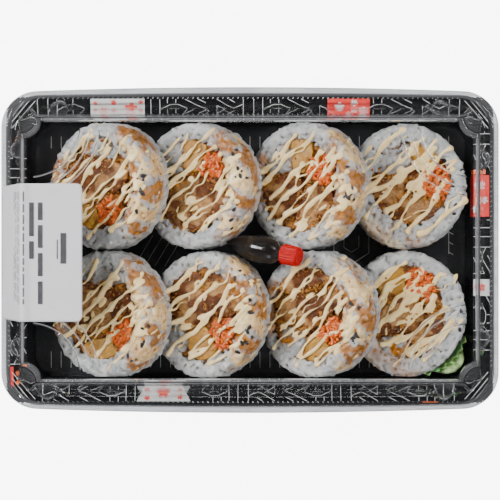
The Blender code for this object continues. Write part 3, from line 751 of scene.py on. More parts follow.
def tray_height(x, y):
    """Height of the tray's upper face over a plan point, in mm: between the two rings that hold the
    point, by the share of the way from one to the other. A ring's distance is that of a rounded
    rectangle, negative inside."""
    reach_x, reach_y, _, corner, bow = TRAY_RINGS.T[:, :, None]
    x = np.abs(np.asarray(x, float))[None]
    y = np.abs(np.asarray(y, float))[None]
    flat_x = np.maximum(x - (reach_x - corner), 0)
    wide_y = reach_y + bow * (1 - np.minimum(x / reach_x, 1) ** 2)
    flat_y = np.maximum(y - (wide_y - corner), 0)
    inner = np.minimum(np.maximum(x - reach_x + corner, y - wide_y + corner), 0)
    away = np.hypot(flat_x, flat_y) + inner - corner
    height = np.full(x.shape[1:], TRAY_RINGS[-1, 2])
    for outer in range(len(TRAY_RINGS) - 2, -1, -1):
        inside = (away[outer] <= 0) & (away[outer + 1] > 0)
        share = -away[outer] / np.maximum(away[outer + 1] - away[outer], 1e-6)
        rise = TRAY_RINGS[outer, 2] + share * (TRAY_RINGS[outer + 1, 2] - TRAY_RINGS[outer, 2])
        height = np.where(inside, rise, height)
    return np.where(away[0] > 0, TRAY_RINGS[0, 2], height)


TRAY_BEND = 0.45
FLOOR_SHRINK = (0.985, 0.9, 0.5)


def tray():
    """The black tray: its rings with rounded bends, and a floor of the last ring's own outline,
    shrunk towards the middle."""
    shares = side_shares(22, 1.4)
    rings = full_outlines(quarter_outlines(TRAY_RINGS, shares, 12))
    rows = rounded_profile(rings, TRAY_BEND, 5)
    shrink = np.array(FLOOR_SHRINK)[:, None, None]
    floor = rings[-1] * np.concatenate([shrink, shrink, np.ones_like(shrink)], axis=2)
    points, faces = with_wall(rows, floor, WALL)
    made = mesh_piece("tray_body", points, faces, "black", "tray_plastic")
    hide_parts("tray")


# Lugs: the axis that each points along, its side and its place on the other axis, in mm.
LUGS = (
    (1, 1, 90.5), (1, 1, -90.5), (1, -1, 92.5), (1, -1, -96.5),
    (0, -1, 47.5), (0, -1, -46.0), (0, 1, 43.0), (0, 1, -42.0),
)
LUG_REACH = 5.0
LUG_TOP = 34.0
LUG_FADE = 5.0
LUG_DRAFT = 0.25
WALL_FOOT = (110.2, 67.2)
WALL_FOOT_HEIGHT = 21.0


def lid_lugs(rows):
    """Half-round lugs at the foot of the lid's wall: near each lug a point moves out to a half circle
    round the lug's middle, and the half circle fades towards the lug's top."""
    made = rows.copy()
    height = rows[..., 2]
    fade = np.sqrt(np.clip((LUG_TOP - height) / LUG_FADE, 0, 1))
    fade *= smooth_step(height, WALL_FOOT_HEIGHT - 0.1, WALL_FOOT_HEIGHT + 0.4)
    for axis, side, place in LUGS:
        out = rows[..., axis] * side
        beside = rows[..., 1 - axis] - place
        bulge = np.sqrt(np.clip(1 - (beside / LUG_REACH) ** 2, 0, 1)) * LUG_REACH
        reach = WALL_FOOT[axis] + bulge * fade - LUG_DRAFT * (height - WALL_FOOT_HEIGHT)
        near = (bulge > 0) & (fade > 0) & (out > WALL_FOOT[axis] - 8)
        made[..., axis] = np.where(near, side * np.maximum(out, reach), made[..., axis])
    return made


def lid_quarter(rings, short_shares, long_shares, corner_steps):
    """As quarter_outlines, with other shares on the long side than on the short one."""
    steps = len(short_shares)
    first = quarter_outlines(rings, short_shares, corner_steps)[:, : steps + corner_steps]
    second = quarter_outlines(rings, long_shares, corner_steps)[:, steps + corner_steps :]
    return np.concatenate([first, second], axis=1)


# The panel's grid round a corner, in mm from the corner: fine as far as the arcs go.
PATCH_REACH = 37.0
PATCH_STEPS = 38
FAR_STEPS = 10
CORNER_STEPS = 18
WALL_STEPS = 14
ARC_RADII = (23.6, 28.1, 32.1)
ARC_WIDTH = 1.5
ARC_HEIGHT = 0.55


def corner_grid(panel, near):
    """A quarter of the panel: a polar grid round its own hollow corner, from the corner's arc out to
    the panel's two midlines, with ribs at fixed distances from the corner. A rib's section is a
    squared cosine, and it sinks to nothing at the panel's edge."""
    angle = np.linspace(0, math.pi / 2, CORNER_STEPS + 1)[:, None]
    limit_x = panel[0] / np.maximum(np.cos(angle), 1e-9)
    limit_y = panel[1] / np.maximum(np.sin(angle), 1e-9)
    share = np.linspace(0, 1, FAR_STEPS)[None, 1:]
    reach = np.concatenate([
        np.broadcast_to(near[None], (CORNER_STEPS + 1, len(near))),
        PATCH_REACH + (np.minimum(limit_x, limit_y) - PATCH_REACH) * share,
    ], axis=1)
    x = panel[0] - reach * np.cos(angle)
    y = panel[1] - reach * np.sin(angle)
    rib = sum(np.cos(np.clip((reach - at) / ARC_WIDTH, -1, 1) * math.pi / 2) ** 2 for at in ARC_RADII)
    edge = np.minimum(panel[0] - x, panel[1] - y)
    z = panel[2] + ARC_HEIGHT * rib * smooth_step(edge, 0.0, 2.0)
    return np.stack([x, y, z], axis=-1)


def lid_grids():
    """The clear lid's upper face: rings for flange, skirt, wall and bead, whose points stand where
    the panel's grid meets them, and the grid of one quarter of the flat panel."""
    margin = LID_RINGS[-1] - np.array([[0.4, 0.4, 0, 0, 0], [PANEL_MARGIN, PANEL_MARGIN, 0, 0, 0]])
    panel = margin[-1]
    radius = abs(panel[3])
    near = np.linspace(radius, PATCH_REACH, PATCH_STEPS)
    shares = []
    for half in (panel[1], panel[0]):
        reach = np.concatenate([near, np.linspace(PATCH_REACH, half, FAR_STEPS)[1:]])
        shares.append(((half - reach) / (half - radius))[::-1])
    rings = full_outlines(lid_quarter(np.concatenate([LID_RINGS, margin]), *shares, CORNER_STEPS))
    climb = rings[7] + (rings[8] - rings[7]) * np.linspace(0, 1, WALL_STEPS)[1:-1, None, None]
    rows = np.concatenate([
        rounded_profile(rings[:8], 0.5, 4)[:-1],
        rings[7:8],
        climb,
        rounded_profile(rings[8:12], 0.6, 5),
        rings[12:],
    ])
    return lid_lugs(rows), corner_grid(panel, near)


def lid_sheets():
    """Points and faces of the lid's outer skin and of the same skin moved in by the wall's thickness
    along its own normal, joined round the open edge. The panel's quarter is mirrored to all four."""
    rows, corner = lid_grids()
    normal = surface_normals(rows)
    normal /= np.linalg.norm(normal, axis=2, keepdims=True) + 1e-12
    parts = [two_skins(rows, rows - normal * WALL)]
    grid = grid_faces(*corner.shape[:2])
    for side_x, side_y in ((1, 1), (-1, 1), (-1, -1), (1, -1)):
        quarter = (corner * np.array([side_x, side_y, 1])).reshape(-1, 3)
        facing = grid if side_x * side_y > 0 else grid[:, ::-1]
        parts.append((quarter, [facing]))
        parts.append((quarter - np.array([0, 0, WALL]), [facing[:, ::-1]]))
    return joined(parts)


# Where the lid is cloudy, in mm: frosted on the flange outside the tray's rim, and pale as a painted
# highlight on the ridge and the arcs.
FLANGE_X = 117.0
FLANGE_Y = 73.4
FLANGE_BOW = 1.2
FLANGE_TOP = 18.5
NOTCH_X = 94.0
NOTCH_Y = 50.0
PANEL_X = 102.0
PANEL_Y = 57.6
RIDGE_FROM = 51.0
CREST_FROM = 51.08
# Strengths of the pale lines painted as highlights on the ridge and the arcs' crests.
RIDGE_FROST = 0.42
ARC_FROST = 0.12
TICK_STEP = 1.9


def lid_frost(points):
    """How cloudy the lid is at each point, and how strongly it is ticked: smooth steps of the distance
    out from the tray's rim for the frosted flange, and of the height for pale lines painted as
    highlights on the ridge and the arcs' crests, and a square wave along the flange for the ticks;
    the arcs' crests are whitened further as a painted highlight."""
    x = np.abs(points[:, 0])
    y = np.abs(points[:, 1])
    z = points[:, 2]
    bow = FLANGE_BOW * (1 - (x / 118) ** 2)
    outward = np.maximum(x - FLANGE_X, y - FLANGE_Y - bow)
    frost = smooth_step(outward, -0.4, 0.4) * (z < FLANGE_TOP)
    notch = smooth_step(np.minimum(x - NOTCH_X, y - NOTCH_Y), 0.0, 2.0)
    # Painted highlight: a pale cloudy line along the ridge's top, fainter near the hollow corners.
    frost += RIDGE_FROST * smooth_step(z, RIDGE_FROM, RIDGE_FROM + 0.25) * (1 - 0.65 * notch)
    # Painted highlight: pale cloudy lines on the arcs' crests, whitened further through the ticks below.
    crest = smooth_step(z, CREST_FROM, CREST_FROM + 0.14) * ((x < PANEL_X) & (y < PANEL_Y))
    frost += ARC_FROST * crest * (1 - notch)
    along = np.where(x > 112, points[:, 1], points[:, 0])
    ticked = np.sin(along * TAU / TICK_STEP) > 0.2
    # Ticks on the flange, plus the painted highlight on the arcs' crests.
    return frost, ticked * smooth_step(outward, 0.6, 1.0) * frost + 1.8 * crest


def frosted_faces(mesh):
    """1 for each face whose points are all cloudy, frosted or painted as a highlight, 0 for the clear
    ones.
    """
    frost = np.zeros(len(mesh.vertices), np.float32)
    mesh.attributes["frost"].data.foreach_get("value", frost)
    corners = np.zeros(len(mesh.loops), np.int32)
    mesh.loops.foreach_get("vertex_index", corners)
    starts = np.zeros(len(mesh.polygons), np.int32)
    mesh.polygons.foreach_get("loop_start", starts)
    return (np.minimum.reduceat(frost[corners], starts) > 0.1).astype(np.int32)


def lid():
    """The lid as one closed sheet, clear except where it is frosted or carries pale lines painted as
    highlights.
    """
    points, faces = lid_sheets()
    frost, tick = lid_frost(points)
    marks = {"frost": frost, "tick": tick}
    made = mesh_piece("lid_shell", points, faces, None, "lid_plastic", marks)
    weld = made.modifiers.new("weld", "WELD")
    weld.merge_threshold = 0.01 * MM
    mesh = applied_mesh(made)
    mesh.materials.append(FINISH["clear"])
    mesh.materials.append(FINISH["frosted"])
    mesh.polygons.foreach_set("material_index", frosted_faces(mesh))
    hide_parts("lid")


def applied_mesh(made):
    """Puts the object's modifiers into its mesh."""
    bpy.context.view_layer.update()
    graph = bpy.context.evaluated_depsgraph_get()
    mesh = bpy.data.meshes.new_from_object(made.evaluated_get(graph))
    made.modifiers.clear()
    made.data = mesh
    return mesh


# Rolls

def lean_row(tilts):
    """Where each roll of a row stands, from left to right: foot x and tilt. Each roll but the last
    leans on its right neighbour's upper left edge or, at most, reaches over its face."""
    foot = ROW_END_X - ROLL_LENGTH
    placed = [(foot, tilts[-1])]
    for tilt in reversed(tilts[:-1]):
        next_foot, next_tilt = placed[0]
        edge_x = next_foot - ROLL_HEIGHT * math.sin(next_tilt)
        edge_rise = ROLL_HEIGHT * math.cos(next_tilt)
        foot = edge_x - (LEAN_GAP + edge_rise * math.cos(tilt)) / math.sin(tilt)
        if next_tilt > 0:
            rise = ROLL_LENGTH * math.sin(tilt) - edge_rise
            over = edge_x + (rise * math.cos(next_tilt) - LEAN_GAP) / math.sin(next_tilt)
            foot = min(foot, over - ROLL_LENGTH * math.cos(tilt))
        placed.insert(0, (foot, tilt))
    return placed


def roll_frames():
    """Each roll's frame, by name: its middle on the lower face and its three axes as rows, +X up the
    lean and +Z out of the cut face."""
    frames = {}
    for row, side in ((1, 1), (2, -1)):
        rolls = [roll for roll in ROLLS if roll.row == row]
        places = lean_row([math.radians(roll.tilt) for roll in rolls])
        for roll, (foot, tilt) in zip(rolls, places):
            cos, sin = math.cos(tilt), math.sin(tilt)
            middle = np.array([
                foot + ROLL_LENGTH / 2 * cos,
                side * ROW_Y,
                ROLL_GROUND + ROLL_LENGTH / 2 * sin,
            ])
            frames[roll.name] = (middle, np.array([(cos, 0, sin), (0, 1, 0), (-sin, 0, cos)]))
    return frames


FRAMES = roll_frames()


def to_world(roll, points):
    """Points of a roll's own frame in the tray's frame."""
    middle, axes = FRAMES[roll.name]
    return middle + points @ axes


def oval(half_x, half_y, angle):
    """An oval's reach from its middle towards each angle."""
    return half_x * half_y / np.hypot(half_y * np.cos(angle), half_x * np.sin(angle))


def roll_phases(roll):
    """Where the two slow waves of a roll's outline start."""
    draw = random.Random(PART_SEED + ROLLS.index(roll))
    return draw.uniform(0, math.tau), draw.uniform(0, math.tau)


def rim_reach(roll, angle):
    """The roll's outline: an oval pressed in by up to 4% in two slow waves."""
    phases = roll_phases(roll)
    pressed = 0.010 * (1 + np.sin(2 * angle + phases[0])) + 0.008 * (1 + np.sin(3 * angle + phases[1]))
    return oval(ROLL_LENGTH / 2, ROLL_WIDTH / 2, angle) * (1 - pressed)


def plane_point(angle, reach):
    """The plan point at that angle and reach."""
    return np.stack([np.cos(angle) * reach, np.sin(angle) * reach], axis=-1)


def hollow_point(roll, angle, inset):
    """A plan point on the hollow's edge, moved in by the inset."""
    return np.array(roll.shift) + plane_point(angle, oval(*roll.hollow, angle) - inset)


def ring_place(roll, angle, share):
    """A plan point of the rice ring: share of the way from the hollow's edge to the rim."""
    inside = hollow_point(roll, angle, 0.0)
    outside = plane_point(angle, rim_reach(roll, angle))
    return inside + (outside - inside) * share[..., None]


def spread(count, seed):
    """Two numbers from 0 to 1 for each of count places, evenly spread: steps of irrational size."""
    index = np.arange(count) + 1
    draw = np.random.default_rng(seed)
    jitter = draw.uniform(-0.35, 0.35, (2, count)) / math.sqrt(count)
    return (index * 0.7548776662 + jitter[0]) % 1, (index * 0.5698402910 + jitter[1]) % 1


GRAIN_FORM, GRAIN_FACES = ball(7, 5)


def grains(centres, normals, seed, length=2.3, width=1.1):
    """Rice grains: oval forms lying on the surface in every direction, sunk by their own width."""
    draw = np.random.default_rng(seed)
    count = len(centres)
    other = draw.normal(size=(count, 3))
    along = np.cross(normals, other)
    along /= np.linalg.norm(along, axis=1, keepdims=True)
    along += normals * draw.uniform(-0.35, 0.35, (count, 1))
    sizes = np.stack([
        length * draw.uniform(0.8, 1.1, count),
        width * draw.uniform(0.85, 1.15, count),
        width * draw.uniform(0.8, 1.1, count),
    ], axis=1)
    return strewn(GRAIN_FORM, GRAIN_FACES, centres, along, normals, sizes)


def fused_by_voxels(name, parts, voxel_mm, smoothing):
    """One closed mesh object from overlapping closed forms, in the grain of small cubes, smoothed."""
    points, faces = joined(parts)
    made = mesh_piece(name, points, faces, None, None)
    remesh = made.modifiers.new("fuse", "REMESH")
    remesh.mode = "VOXEL"
    remesh.voxel_size = voxel_mm * MM
    remesh.use_smooth_shade = True
    soften = made.modifiers.new("soften", "SMOOTH")
    soften.factor = 0.5
    soften.iterations = smoothing
    applied_mesh(made)
    return made


def points_of(made):
    """A mesh's points in mm, one row each."""
    co = np.zeros(len(made.data.vertices) * 3, np.float32)
    made.data.vertices.foreach_get("co", co)
    return co.reshape(-1, 3).astype(float) / MM


def set_points(made, points):
    """Puts these points, in mm, in the place of a mesh's own."""
    made.data.vertices.foreach_set("co", (points * MM).astype(np.float32).ravel())
    made.data.update()


def crevices(made, reach_mm=0.55):
    """How deep each point lies in a crevice, from 0 to 1: its distance along the normal below the
    mean of its surroundings, taken over several rounds of the mesh's edges."""
    mesh = made.data
    count = len(mesh.vertices)
    edges = np.zeros(len(mesh.edges) * 2, np.int32)
    mesh.edges.foreach_get("vertices", edges)
    first, second = edges.reshape(-1, 2).T
    points = points_of(made)
    around = np.bincount(first, minlength=count) + np.bincount(second, minlength=count)
    mean = points.copy()
    for _ in range(14):
        total = np.stack([
            np.bincount(first, weights=mean[second, axis], minlength=count)
            + np.bincount(second, weights=mean[first, axis], minlength=count)
            for axis in range(3)
        ], axis=1)
        mean = total / np.maximum(around, 1)[:, None]
    normals = np.zeros(count * 3, np.float32)
    mesh.vertices.foreach_get("normal", normals)
    below = ((mean - points) * normals.reshape(-1, 3)).sum(1)
    return smooth_step(below, -0.12 * reach_mm, reach_mm)


def dress(made, finish, slot, *nodes):
    """Gives a fused piece its material, body and solids."""
    made.data.materials.append(FINISH[finish])
    made.data.shade_smooth()
    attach(made, "root")
    if nodes:
        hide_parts(*nodes)


def dress_rice(made, roll, local, glaze, coat, depth, node_end):
    """Marks the sauces and the painted shade on fused rice, moves it from the roll's own frame to its
    place, and gives it what dress does."""
    for name, values in (("glaze", glaze), ("coat", coat), ("depth", depth)):
        set_attribute(made.data, name, values)
    set_points(made, to_world(roll, local))
    dress(made, "rice", "rice", roll.name + node_end)


GLAZE_STEP = 17.0


def sauce_masks(roll, local):
    """Where glaze and mayonnaise lie on a roll, from 0 to 1, at points in its own frame. Glaze lies
    in slanting bands across the raised side and in one patch on the lower side; mayonnaise coats
    most of the raised side."""
    number = ROLLS.index(roll)
    slant = local[:, 0] * 0.68 + local[:, 1] * 0.73
    cloud = layered_noise(local, 9.0, 31 + number)
    fine = layered_noise(local, 3.2, 57 + number)
    wave = 0.5 + 0.5 * np.sin(slant * TAU / GLAZE_STEP + number * 1.9 + 5 * cloud)
    top_side = smooth_step(local[:, 2], 4.0, 9.0)
    if roll.tilt:
        raised = smooth_step(local[:, 0] + 12 * (cloud - 0.5), 10.0, 17.0)
        lower = smooth_step(-local[:, 0] - 0.15 * local[:, 1] + 10 * (cloud - 0.5), 13.0, 18.0)
        lower *= smooth_step(15.0 - np.abs(local[:, 1] - 3.0), 0.0, 5.0)
    else:
        corner = local[:, 1] * -0.5 - local[:, 0] * 0.3 + 14 * (cloud - 0.5)
        raised = smooth_step(corner, 9.0, 14.0) * 0.5
        lower = smooth_step(local[:, 0] + 8 * (cloud - 0.5), -30.0, -33.0)
    glaze = 0.9 * raised * smooth_step(wave + 1.1 * (fine - 0.5), 0.35, 0.95)
    glaze += 0.8 * lower * smooth_step(fine, 0.25, 0.65)
    coat = 0.85 * raised * smooth_step(1 - wave + 1.2 * (fine - 0.5), 0.5, 0.85)
    reached = np.clip(raised + lower, 0, 1) * top_side
    return np.clip(glaze, 0, 1) * top_side, np.clip(coat, 0, 1) * top_side, reached


# The smooth core under the grains, as the ring's section: share of the way out, and height in mm.
CORE_SHARES = np.array([0.0, 0.04, 0.42, 0.80, 0.91, 0.93, 0.93, 0.84, 0.02])
CORE_HEIGHTS = np.array([0.4, 16.9, 17.7, 17.2, 15.2, 8.0, 3.2, 0.5, 0.4])
CORE_COLUMNS = 72
RING_DEPTH = 8.0
RING_GRAINS = 1750
LAP_GRAINS = 110
RICE_CELL = 0.48
CORE_CELL = 0.43
MAYO_CELL = 0.46


def ring_core(roll):
    """The core of the rice ring: its section carried round the roll, between hollow and rim."""
    angle = np.arange(CORE_COLUMNS) * TAU / CORE_COLUMNS
    shape = (len(CORE_SHARES), CORE_COLUMNS)
    place = ring_place(roll, angle[None], np.broadcast_to(CORE_SHARES[:, None], shape))
    height = np.broadcast_to(CORE_HEIGHTS[:, None, None], (*shape, 1))
    rows = np.concatenate([place, height], axis=2)
    return rows[::-1].reshape(-1, 3), [grid_faces(*shape, wrap_rows=True, wrap_columns=True)]


def ring_grains(roll, number):
    """Middles and surface directions of the ring's grains: marks spread along its section and round
    the roll, and a loose row more where the rice laps over the seaweed."""
    lengths = np.hypot(np.diff(RING_SHARES) * RING_DEPTH, np.diff(RING_HEIGHTS))
    marks = np.concatenate(([0.0], np.cumsum(lengths)))
    turn, along = spread(RING_GRAINS, 100 + number)
    turn = turn * TAU
    at = along * (marks[-1] - 1.2) + 0.6
    share = np.interp(at, marks, RING_SHARES)
    height = np.interp(at, marks, RING_HEIGHTS)
    steeper = np.interp(at + 0.6, marks, RING_HEIGHTS) - np.interp(at - 0.6, marks, RING_HEIGHTS)
    outward = np.interp(at + 0.6, marks, RING_SHARES) - np.interp(at - 0.6, marks, RING_SHARES)
    outward = outward * RING_DEPTH
    flat = plane_point(turn, 1.0)
    normals = np.concatenate([flat * -steeper[:, None], outward[:, None]], axis=1)
    normals /= np.linalg.norm(normals, axis=1, keepdims=True) + 1e-9
    centres = np.concatenate([ring_place(roll, turn, share), height[:, None]], axis=1)
    draw = np.random.default_rng(200 + number)
    centres -= normals * draw.uniform(0.1, 1.3, (len(centres), 1))
    lap = draw.uniform(0, TAU, LAP_GRAINS)
    lapping = np.column_stack([
        ring_place(roll, lap, draw.uniform(-0.10, 0.04, LAP_GRAINS)),
        draw.uniform(17.0, 18.2, LAP_GRAINS),
    ])
    upright = np.tile([0.0, 0.0, 1.0], (LAP_GRAINS, 1))
    return np.concatenate([centres, lapping]), np.concatenate([normals, upright])


def outer_rice(roll):
    """The ring of outer rice: grains over a smooth core, fused, with sauces and painted shade marked on
    it.
    """
    number = ROLLS.index(roll)
    parts = [ring_core(roll), grains(*ring_grains(roll, number), 300 + number)]
    made = fused_by_voxels(roll.name + "_rice_grains", parts, RICE_CELL, 1)
    local = points_of(made)
    glaze, coat, reached = sauce_masks(roll, local)
    lumps = layered_noise(local, 4.0, 77 + number)
    # Painted shadow on the low side of a leaning roll, where its neighbour's raised edge would shade it;
    # painted shade in the crevices between grains.
    low_side = -local[:, 0] - 0.2 * local[:, 1] + 10 * (lumps - 0.5)
    lowered = smooth_step(low_side, 12, 28) * 0.75 * (roll.tilt > 0)
    creviced = crevices(made)
    depth = np.clip(lowered + 1.25 * creviced, 0, 1)
    glaze = np.clip(glaze + 1.1 * reached * creviced, 0, 1)
    dress_rice(made, roll, local, glaze, coat * 0.9, depth, "_rice")


NORI_COLUMNS = 144


def nori_ring(roll):
    """The seaweed: a thin band's closed section carried round the hollow, with waves in its edge."""
    angle = np.arange(NORI_COLUMNS) * TAU / NORI_COLUMNS
    top = ROLL_HEIGHT - FILLING_DROP - 0.5
    wave = 0.25 * np.sin(7 * angle) + 0.15 * np.sin(17 * angle + 1)
    insets = np.array([0.3, 0.35, 0.35, 0.5, 0.75, 0.9, 0.9, 0.6])
    heights = np.array([0.6, 6.0, top - 0.3, top, top, top - 0.3, 0.7, 0.6])
    ruffle = 0.12 * np.sin(23 * angle)
    shape = (len(insets), NORI_COLUMNS)
    place = hollow_point(roll, np.broadcast_to(angle, shape), insets[:, None] + ruffle)
    z = heights[:, None] + np.where(heights[:, None] > 10, wave, 0.0)
    rows = np.concatenate([place, z[..., None]], axis=2)
    points = to_world(roll, rows.reshape(-1, 3))
    made = mesh_piece(roll.name + "_seaweed", points, grid_faces(*shape, True, True), "nori", "nori")
    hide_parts(roll.name + "_nori")


SLAB_COLUMNS = 120
FACE_FROM = 12.0


def filling_reach(roll, filling, angle):
    """Distance from a filling's middle to its edge: a smooth least of its own rounded square's, of
    those to the lines that part it from its neighbours, and of that to the seaweed."""
    middle = np.array([filling.along, filling.across], float)
    square = 0.62 if filling.kind == "pickle" else 0.85
    turned = angle - math.radians(filling.turn)
    half_x = filling.length * FILLING_SPREAD
    half_y = filling.width * FILLING_SPREAD
    power = 2 / square
    own_x = np.abs(np.cos(turned) / half_x) ** power
    own_y = np.abs(np.sin(turned) / half_y) ** power
    reaches = [(own_x + own_y) ** (-1 / power)]
    ray = np.stack([np.cos(angle), np.sin(angle)], axis=-1)
    size = math.sqrt(filling.length * filling.width)
    for other in roll.fillings:
        if other is filling:
            continue
        towards = np.array([other.along, other.across]) - middle
        gap = np.linalg.norm(towards)
        share = size / (size + math.sqrt(other.length * other.width))
        facing = ray @ (towards / gap)
        parted = (gap * share - 0.15) / np.maximum(facing, 1e-3)
        reaches.append(np.where(facing > 1e-3, parted, 1e3))
    wall = 2 * NORI_GAP + NORI
    axes = np.array(roll.hollow) - wall
    start = (middle - np.array(roll.shift)) / axes
    step = ray / axes
    square_sum = (step**2).sum(-1)
    half = (start * step).sum(-1)
    root = np.sqrt(np.maximum(half**2 - square_sum * ((start**2).sum() - 1), 0))
    reaches.append((root - half) / square_sum)
    stacked = np.stack(reaches)
    return (stacked**-24.0).sum(0) ** (-1 / 24.0)


def edge_at(reach, turn):
    """A filling's reach towards any angle, between those of its slab's columns."""
    return np.interp(turn, np.arange(SLAB_COLUMNS) * TAU / SLAB_COLUMNS, reach)


def slab(roll, filling):
    """Rows of a rounded slab that fills the filling's outline: bottom, sides, a rounded edge, and an
    upper face in rings. Returns rows in the roll's frame, each row's share of the way out and the
    outline's reach."""
    angle = np.arange(SLAB_COLUMNS) * TAU / SLAB_COLUMNS
    top = ROLL_HEIGHT - FILLING_DROP
    face = np.linspace(0.94, 0.05, 20)
    shares = np.concatenate([[0.5, 0.97, 1.0, 1.0, 1.0, 1.0, 0.995, 0.975], face])
    heights = np.concatenate([
        [0.5, 0.5, 1.0, 5.0, 10.0, top - 1.6, top - 0.7, top - 0.2],
        np.full(len(face), top),
    ])
    reach = filling_reach(roll, filling, angle)
    middle = np.array([filling.along, filling.across], float)
    plan = middle + plane_point(angle, 1.0)[None] * (reach[None] * shares[:, None])[..., None]
    rows = np.concatenate([plan, np.broadcast_to(heights[:, None, None], (*plan.shape[:2], 1))], axis=2)
    return rows, np.broadcast_to(shares[:, None], plan.shape[:2]), reach


def raised_rows(rows, rise):
    """The rows with their points moved up by rise, but only those near the face."""
    moved = rows.copy()
    moved[..., 2] += rise * (rows[..., 2] > FACE_FROM)
    return moved


def with_ends(values):
    """One value for each point of a capped form: the rows' own and the means of both end rows."""
    return np.concatenate([values.ravel(), [values[0].mean(), values[-1].mean()]])


def chicken(roll, filling):
    """A slice of fried chicken: a slab whose face is ridged meat and whose edge is rough crumb."""
    number = ROLLS.index(roll)
    rows, shares, reach = slab(roll, filling)
    inward = (1 - shares) * reach[None]
    crust = smooth_step(2.4 - inward + 1.6 * (layered_noise(rows, 2.0, 5 + number) - 0.5), 0.0, 0.9)
    rough = layered_noise(rows, 1.7, 40 + number) - 0.5
    fibre = layered_noise(rows * np.array([0.4, 1.2, 1.0]), 2.4, 60 + number) - 0.5
    swell = layered_noise(rows, 6.0, 20 + number) - 0.45
    rows = raised_rows(rows, 2.2 * rough * crust + 1.2 * fibre * (1 - crust) + 2.4 * swell)
    side = (rough * 1.2 * crust)[..., None] * np.array([1.0, 1.0, 0.0])
    rows = rows + side * (rows - rows.mean(1, keepdims=True)) / (reach.mean() + 1e-9)
    points, faces = capped(rows)
    stain = smooth_step(layered_noise(points, 8.0, 80 + number), 0.42, 0.54)
    made = mesh_piece(
        f"{roll.name}_{filling.kind}_slice", to_world(roll, points), faces, "chicken", "chicken",
        {"crust": with_ends(crust), "glaze": stain},
    )
    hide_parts(f"{roll.name}_{filling.kind}")


def pickle(roll, filling):
    """A block of pickled radish with soft edges and a slightly wavy face."""
    number = ROLLS.index(roll)
    rows, _, _ = slab(roll, filling)
    rows = raised_rows(rows, (layered_noise(rows, 5.0, 90 + number) - 0.5) * 1.4)
    points, faces = capped(rows)
    made = mesh_piece(f"{roll.name}_pickle_block", to_world(roll, points), faces, "pickle", "pickle")
    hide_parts(roll.name + "_pickle")


CARROT_STRIPS = 84


def carrot(roll, filling):
    """Shredded carrot: strips bent in a shallow parabola, lying every way over a lower block."""
    number = ROLLS.index(roll)
    rows, _, reach = slab(roll, filling)
    rows[..., 2] = np.minimum(rows[..., 2], ROLL_HEIGHT - FILLING_DROP - 1.2)
    base = capped(rows)
    draw = np.random.default_rng(500 + number)
    count = CARROT_STRIPS
    turn = draw.uniform(0, TAU, count)
    out = np.sqrt(draw.uniform(0, 1, count)) * edge_at(reach, turn) * 0.86
    middle = np.array([filling.along, filling.across]) + plane_point(turn, out)
    length = draw.uniform(1.6, 5.5, count)
    heading = draw.uniform(0, math.pi, count)
    pitch = draw.normal(0, 0.6, count)
    step = np.linspace(-0.5, 0.5, 7)[None, :, None]
    level = plane_point(heading, np.cos(pitch))
    direction = np.concatenate([level, np.sin(pitch)[:, None]], axis=1)
    sideways = np.stack([-np.sin(heading), np.cos(heading), np.zeros(count)], axis=1)
    height = ROLL_HEIGHT - FILLING_DROP + draw.uniform(-1.4, 0.9, count)
    centre = np.concatenate([middle, height[:, None]], axis=1)
    bend = draw.normal(0, 0.16, count)[:, None, None]
    path = centre[:, None] + direction[:, None] * step * length[:, None, None]
    path = path + sideways[:, None] * bend * length[:, None, None] * (4 * step**2)
    thick = np.broadcast_to(draw.uniform(0.55, 0.95, count)[:, None], (count, 7))
    across = np.broadcast_to(sideways[:, None], path.shape)
    strips = swept(path, across, thick, thick * 0.8, 6)
    points, faces = joined([base, strips])
    made = mesh_piece(f"{roll.name}_carrot_shreds", to_world(roll, points), faces, "carrot", "carrot")
    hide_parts(roll.name + "_carrot")


CORE_GRAINS = 110


def core_rice(roll, filling):
    """The rice at the roll's heart: grains over a lower block."""
    number = ROLLS.index(roll)
    rows, _, reach = slab(roll, filling)
    rows[..., 2] = np.minimum(rows[..., 2], ROLL_HEIGHT - FILLING_DROP - 1.0)
    count = CORE_GRAINS
    turn, out = spread(count, 600 + number)
    turn = turn * TAU
    out = np.sqrt(out) * edge_at(reach, turn) * 0.88
    plan = np.array([filling.along, filling.across]) + plane_point(turn, out)
    draw = np.random.default_rng(700 + number)
    height = ROLL_HEIGHT - FILLING_DROP - draw.uniform(0.6, 1.5, count)
    centres = np.concatenate([plan, height[:, None]], axis=1)
    upward = np.broadcast_to(np.array([0.0, 0.0, 1.0]), centres.shape)
    parts = [capped(rows), grains(centres, upward, 800 + number, 2.2, 1.1)]
    made = fused_by_voxels(roll.name + "_core_grains", parts, CORE_CELL, 1)
    local = points_of(made)
    glaze = smooth_step(layered_noise(local, 7.0, 12 + number), 0.6, 0.72)
    # Painted shade in the crevices between grains, over an even darkening of the whole core by a
    # quarter.
    depth = np.clip(0.25 + 0.9 * crevices(made), 0, 1)
    dress_rice(made, roll, local, glaze, np.zeros(len(local)), depth, "_core_rice")


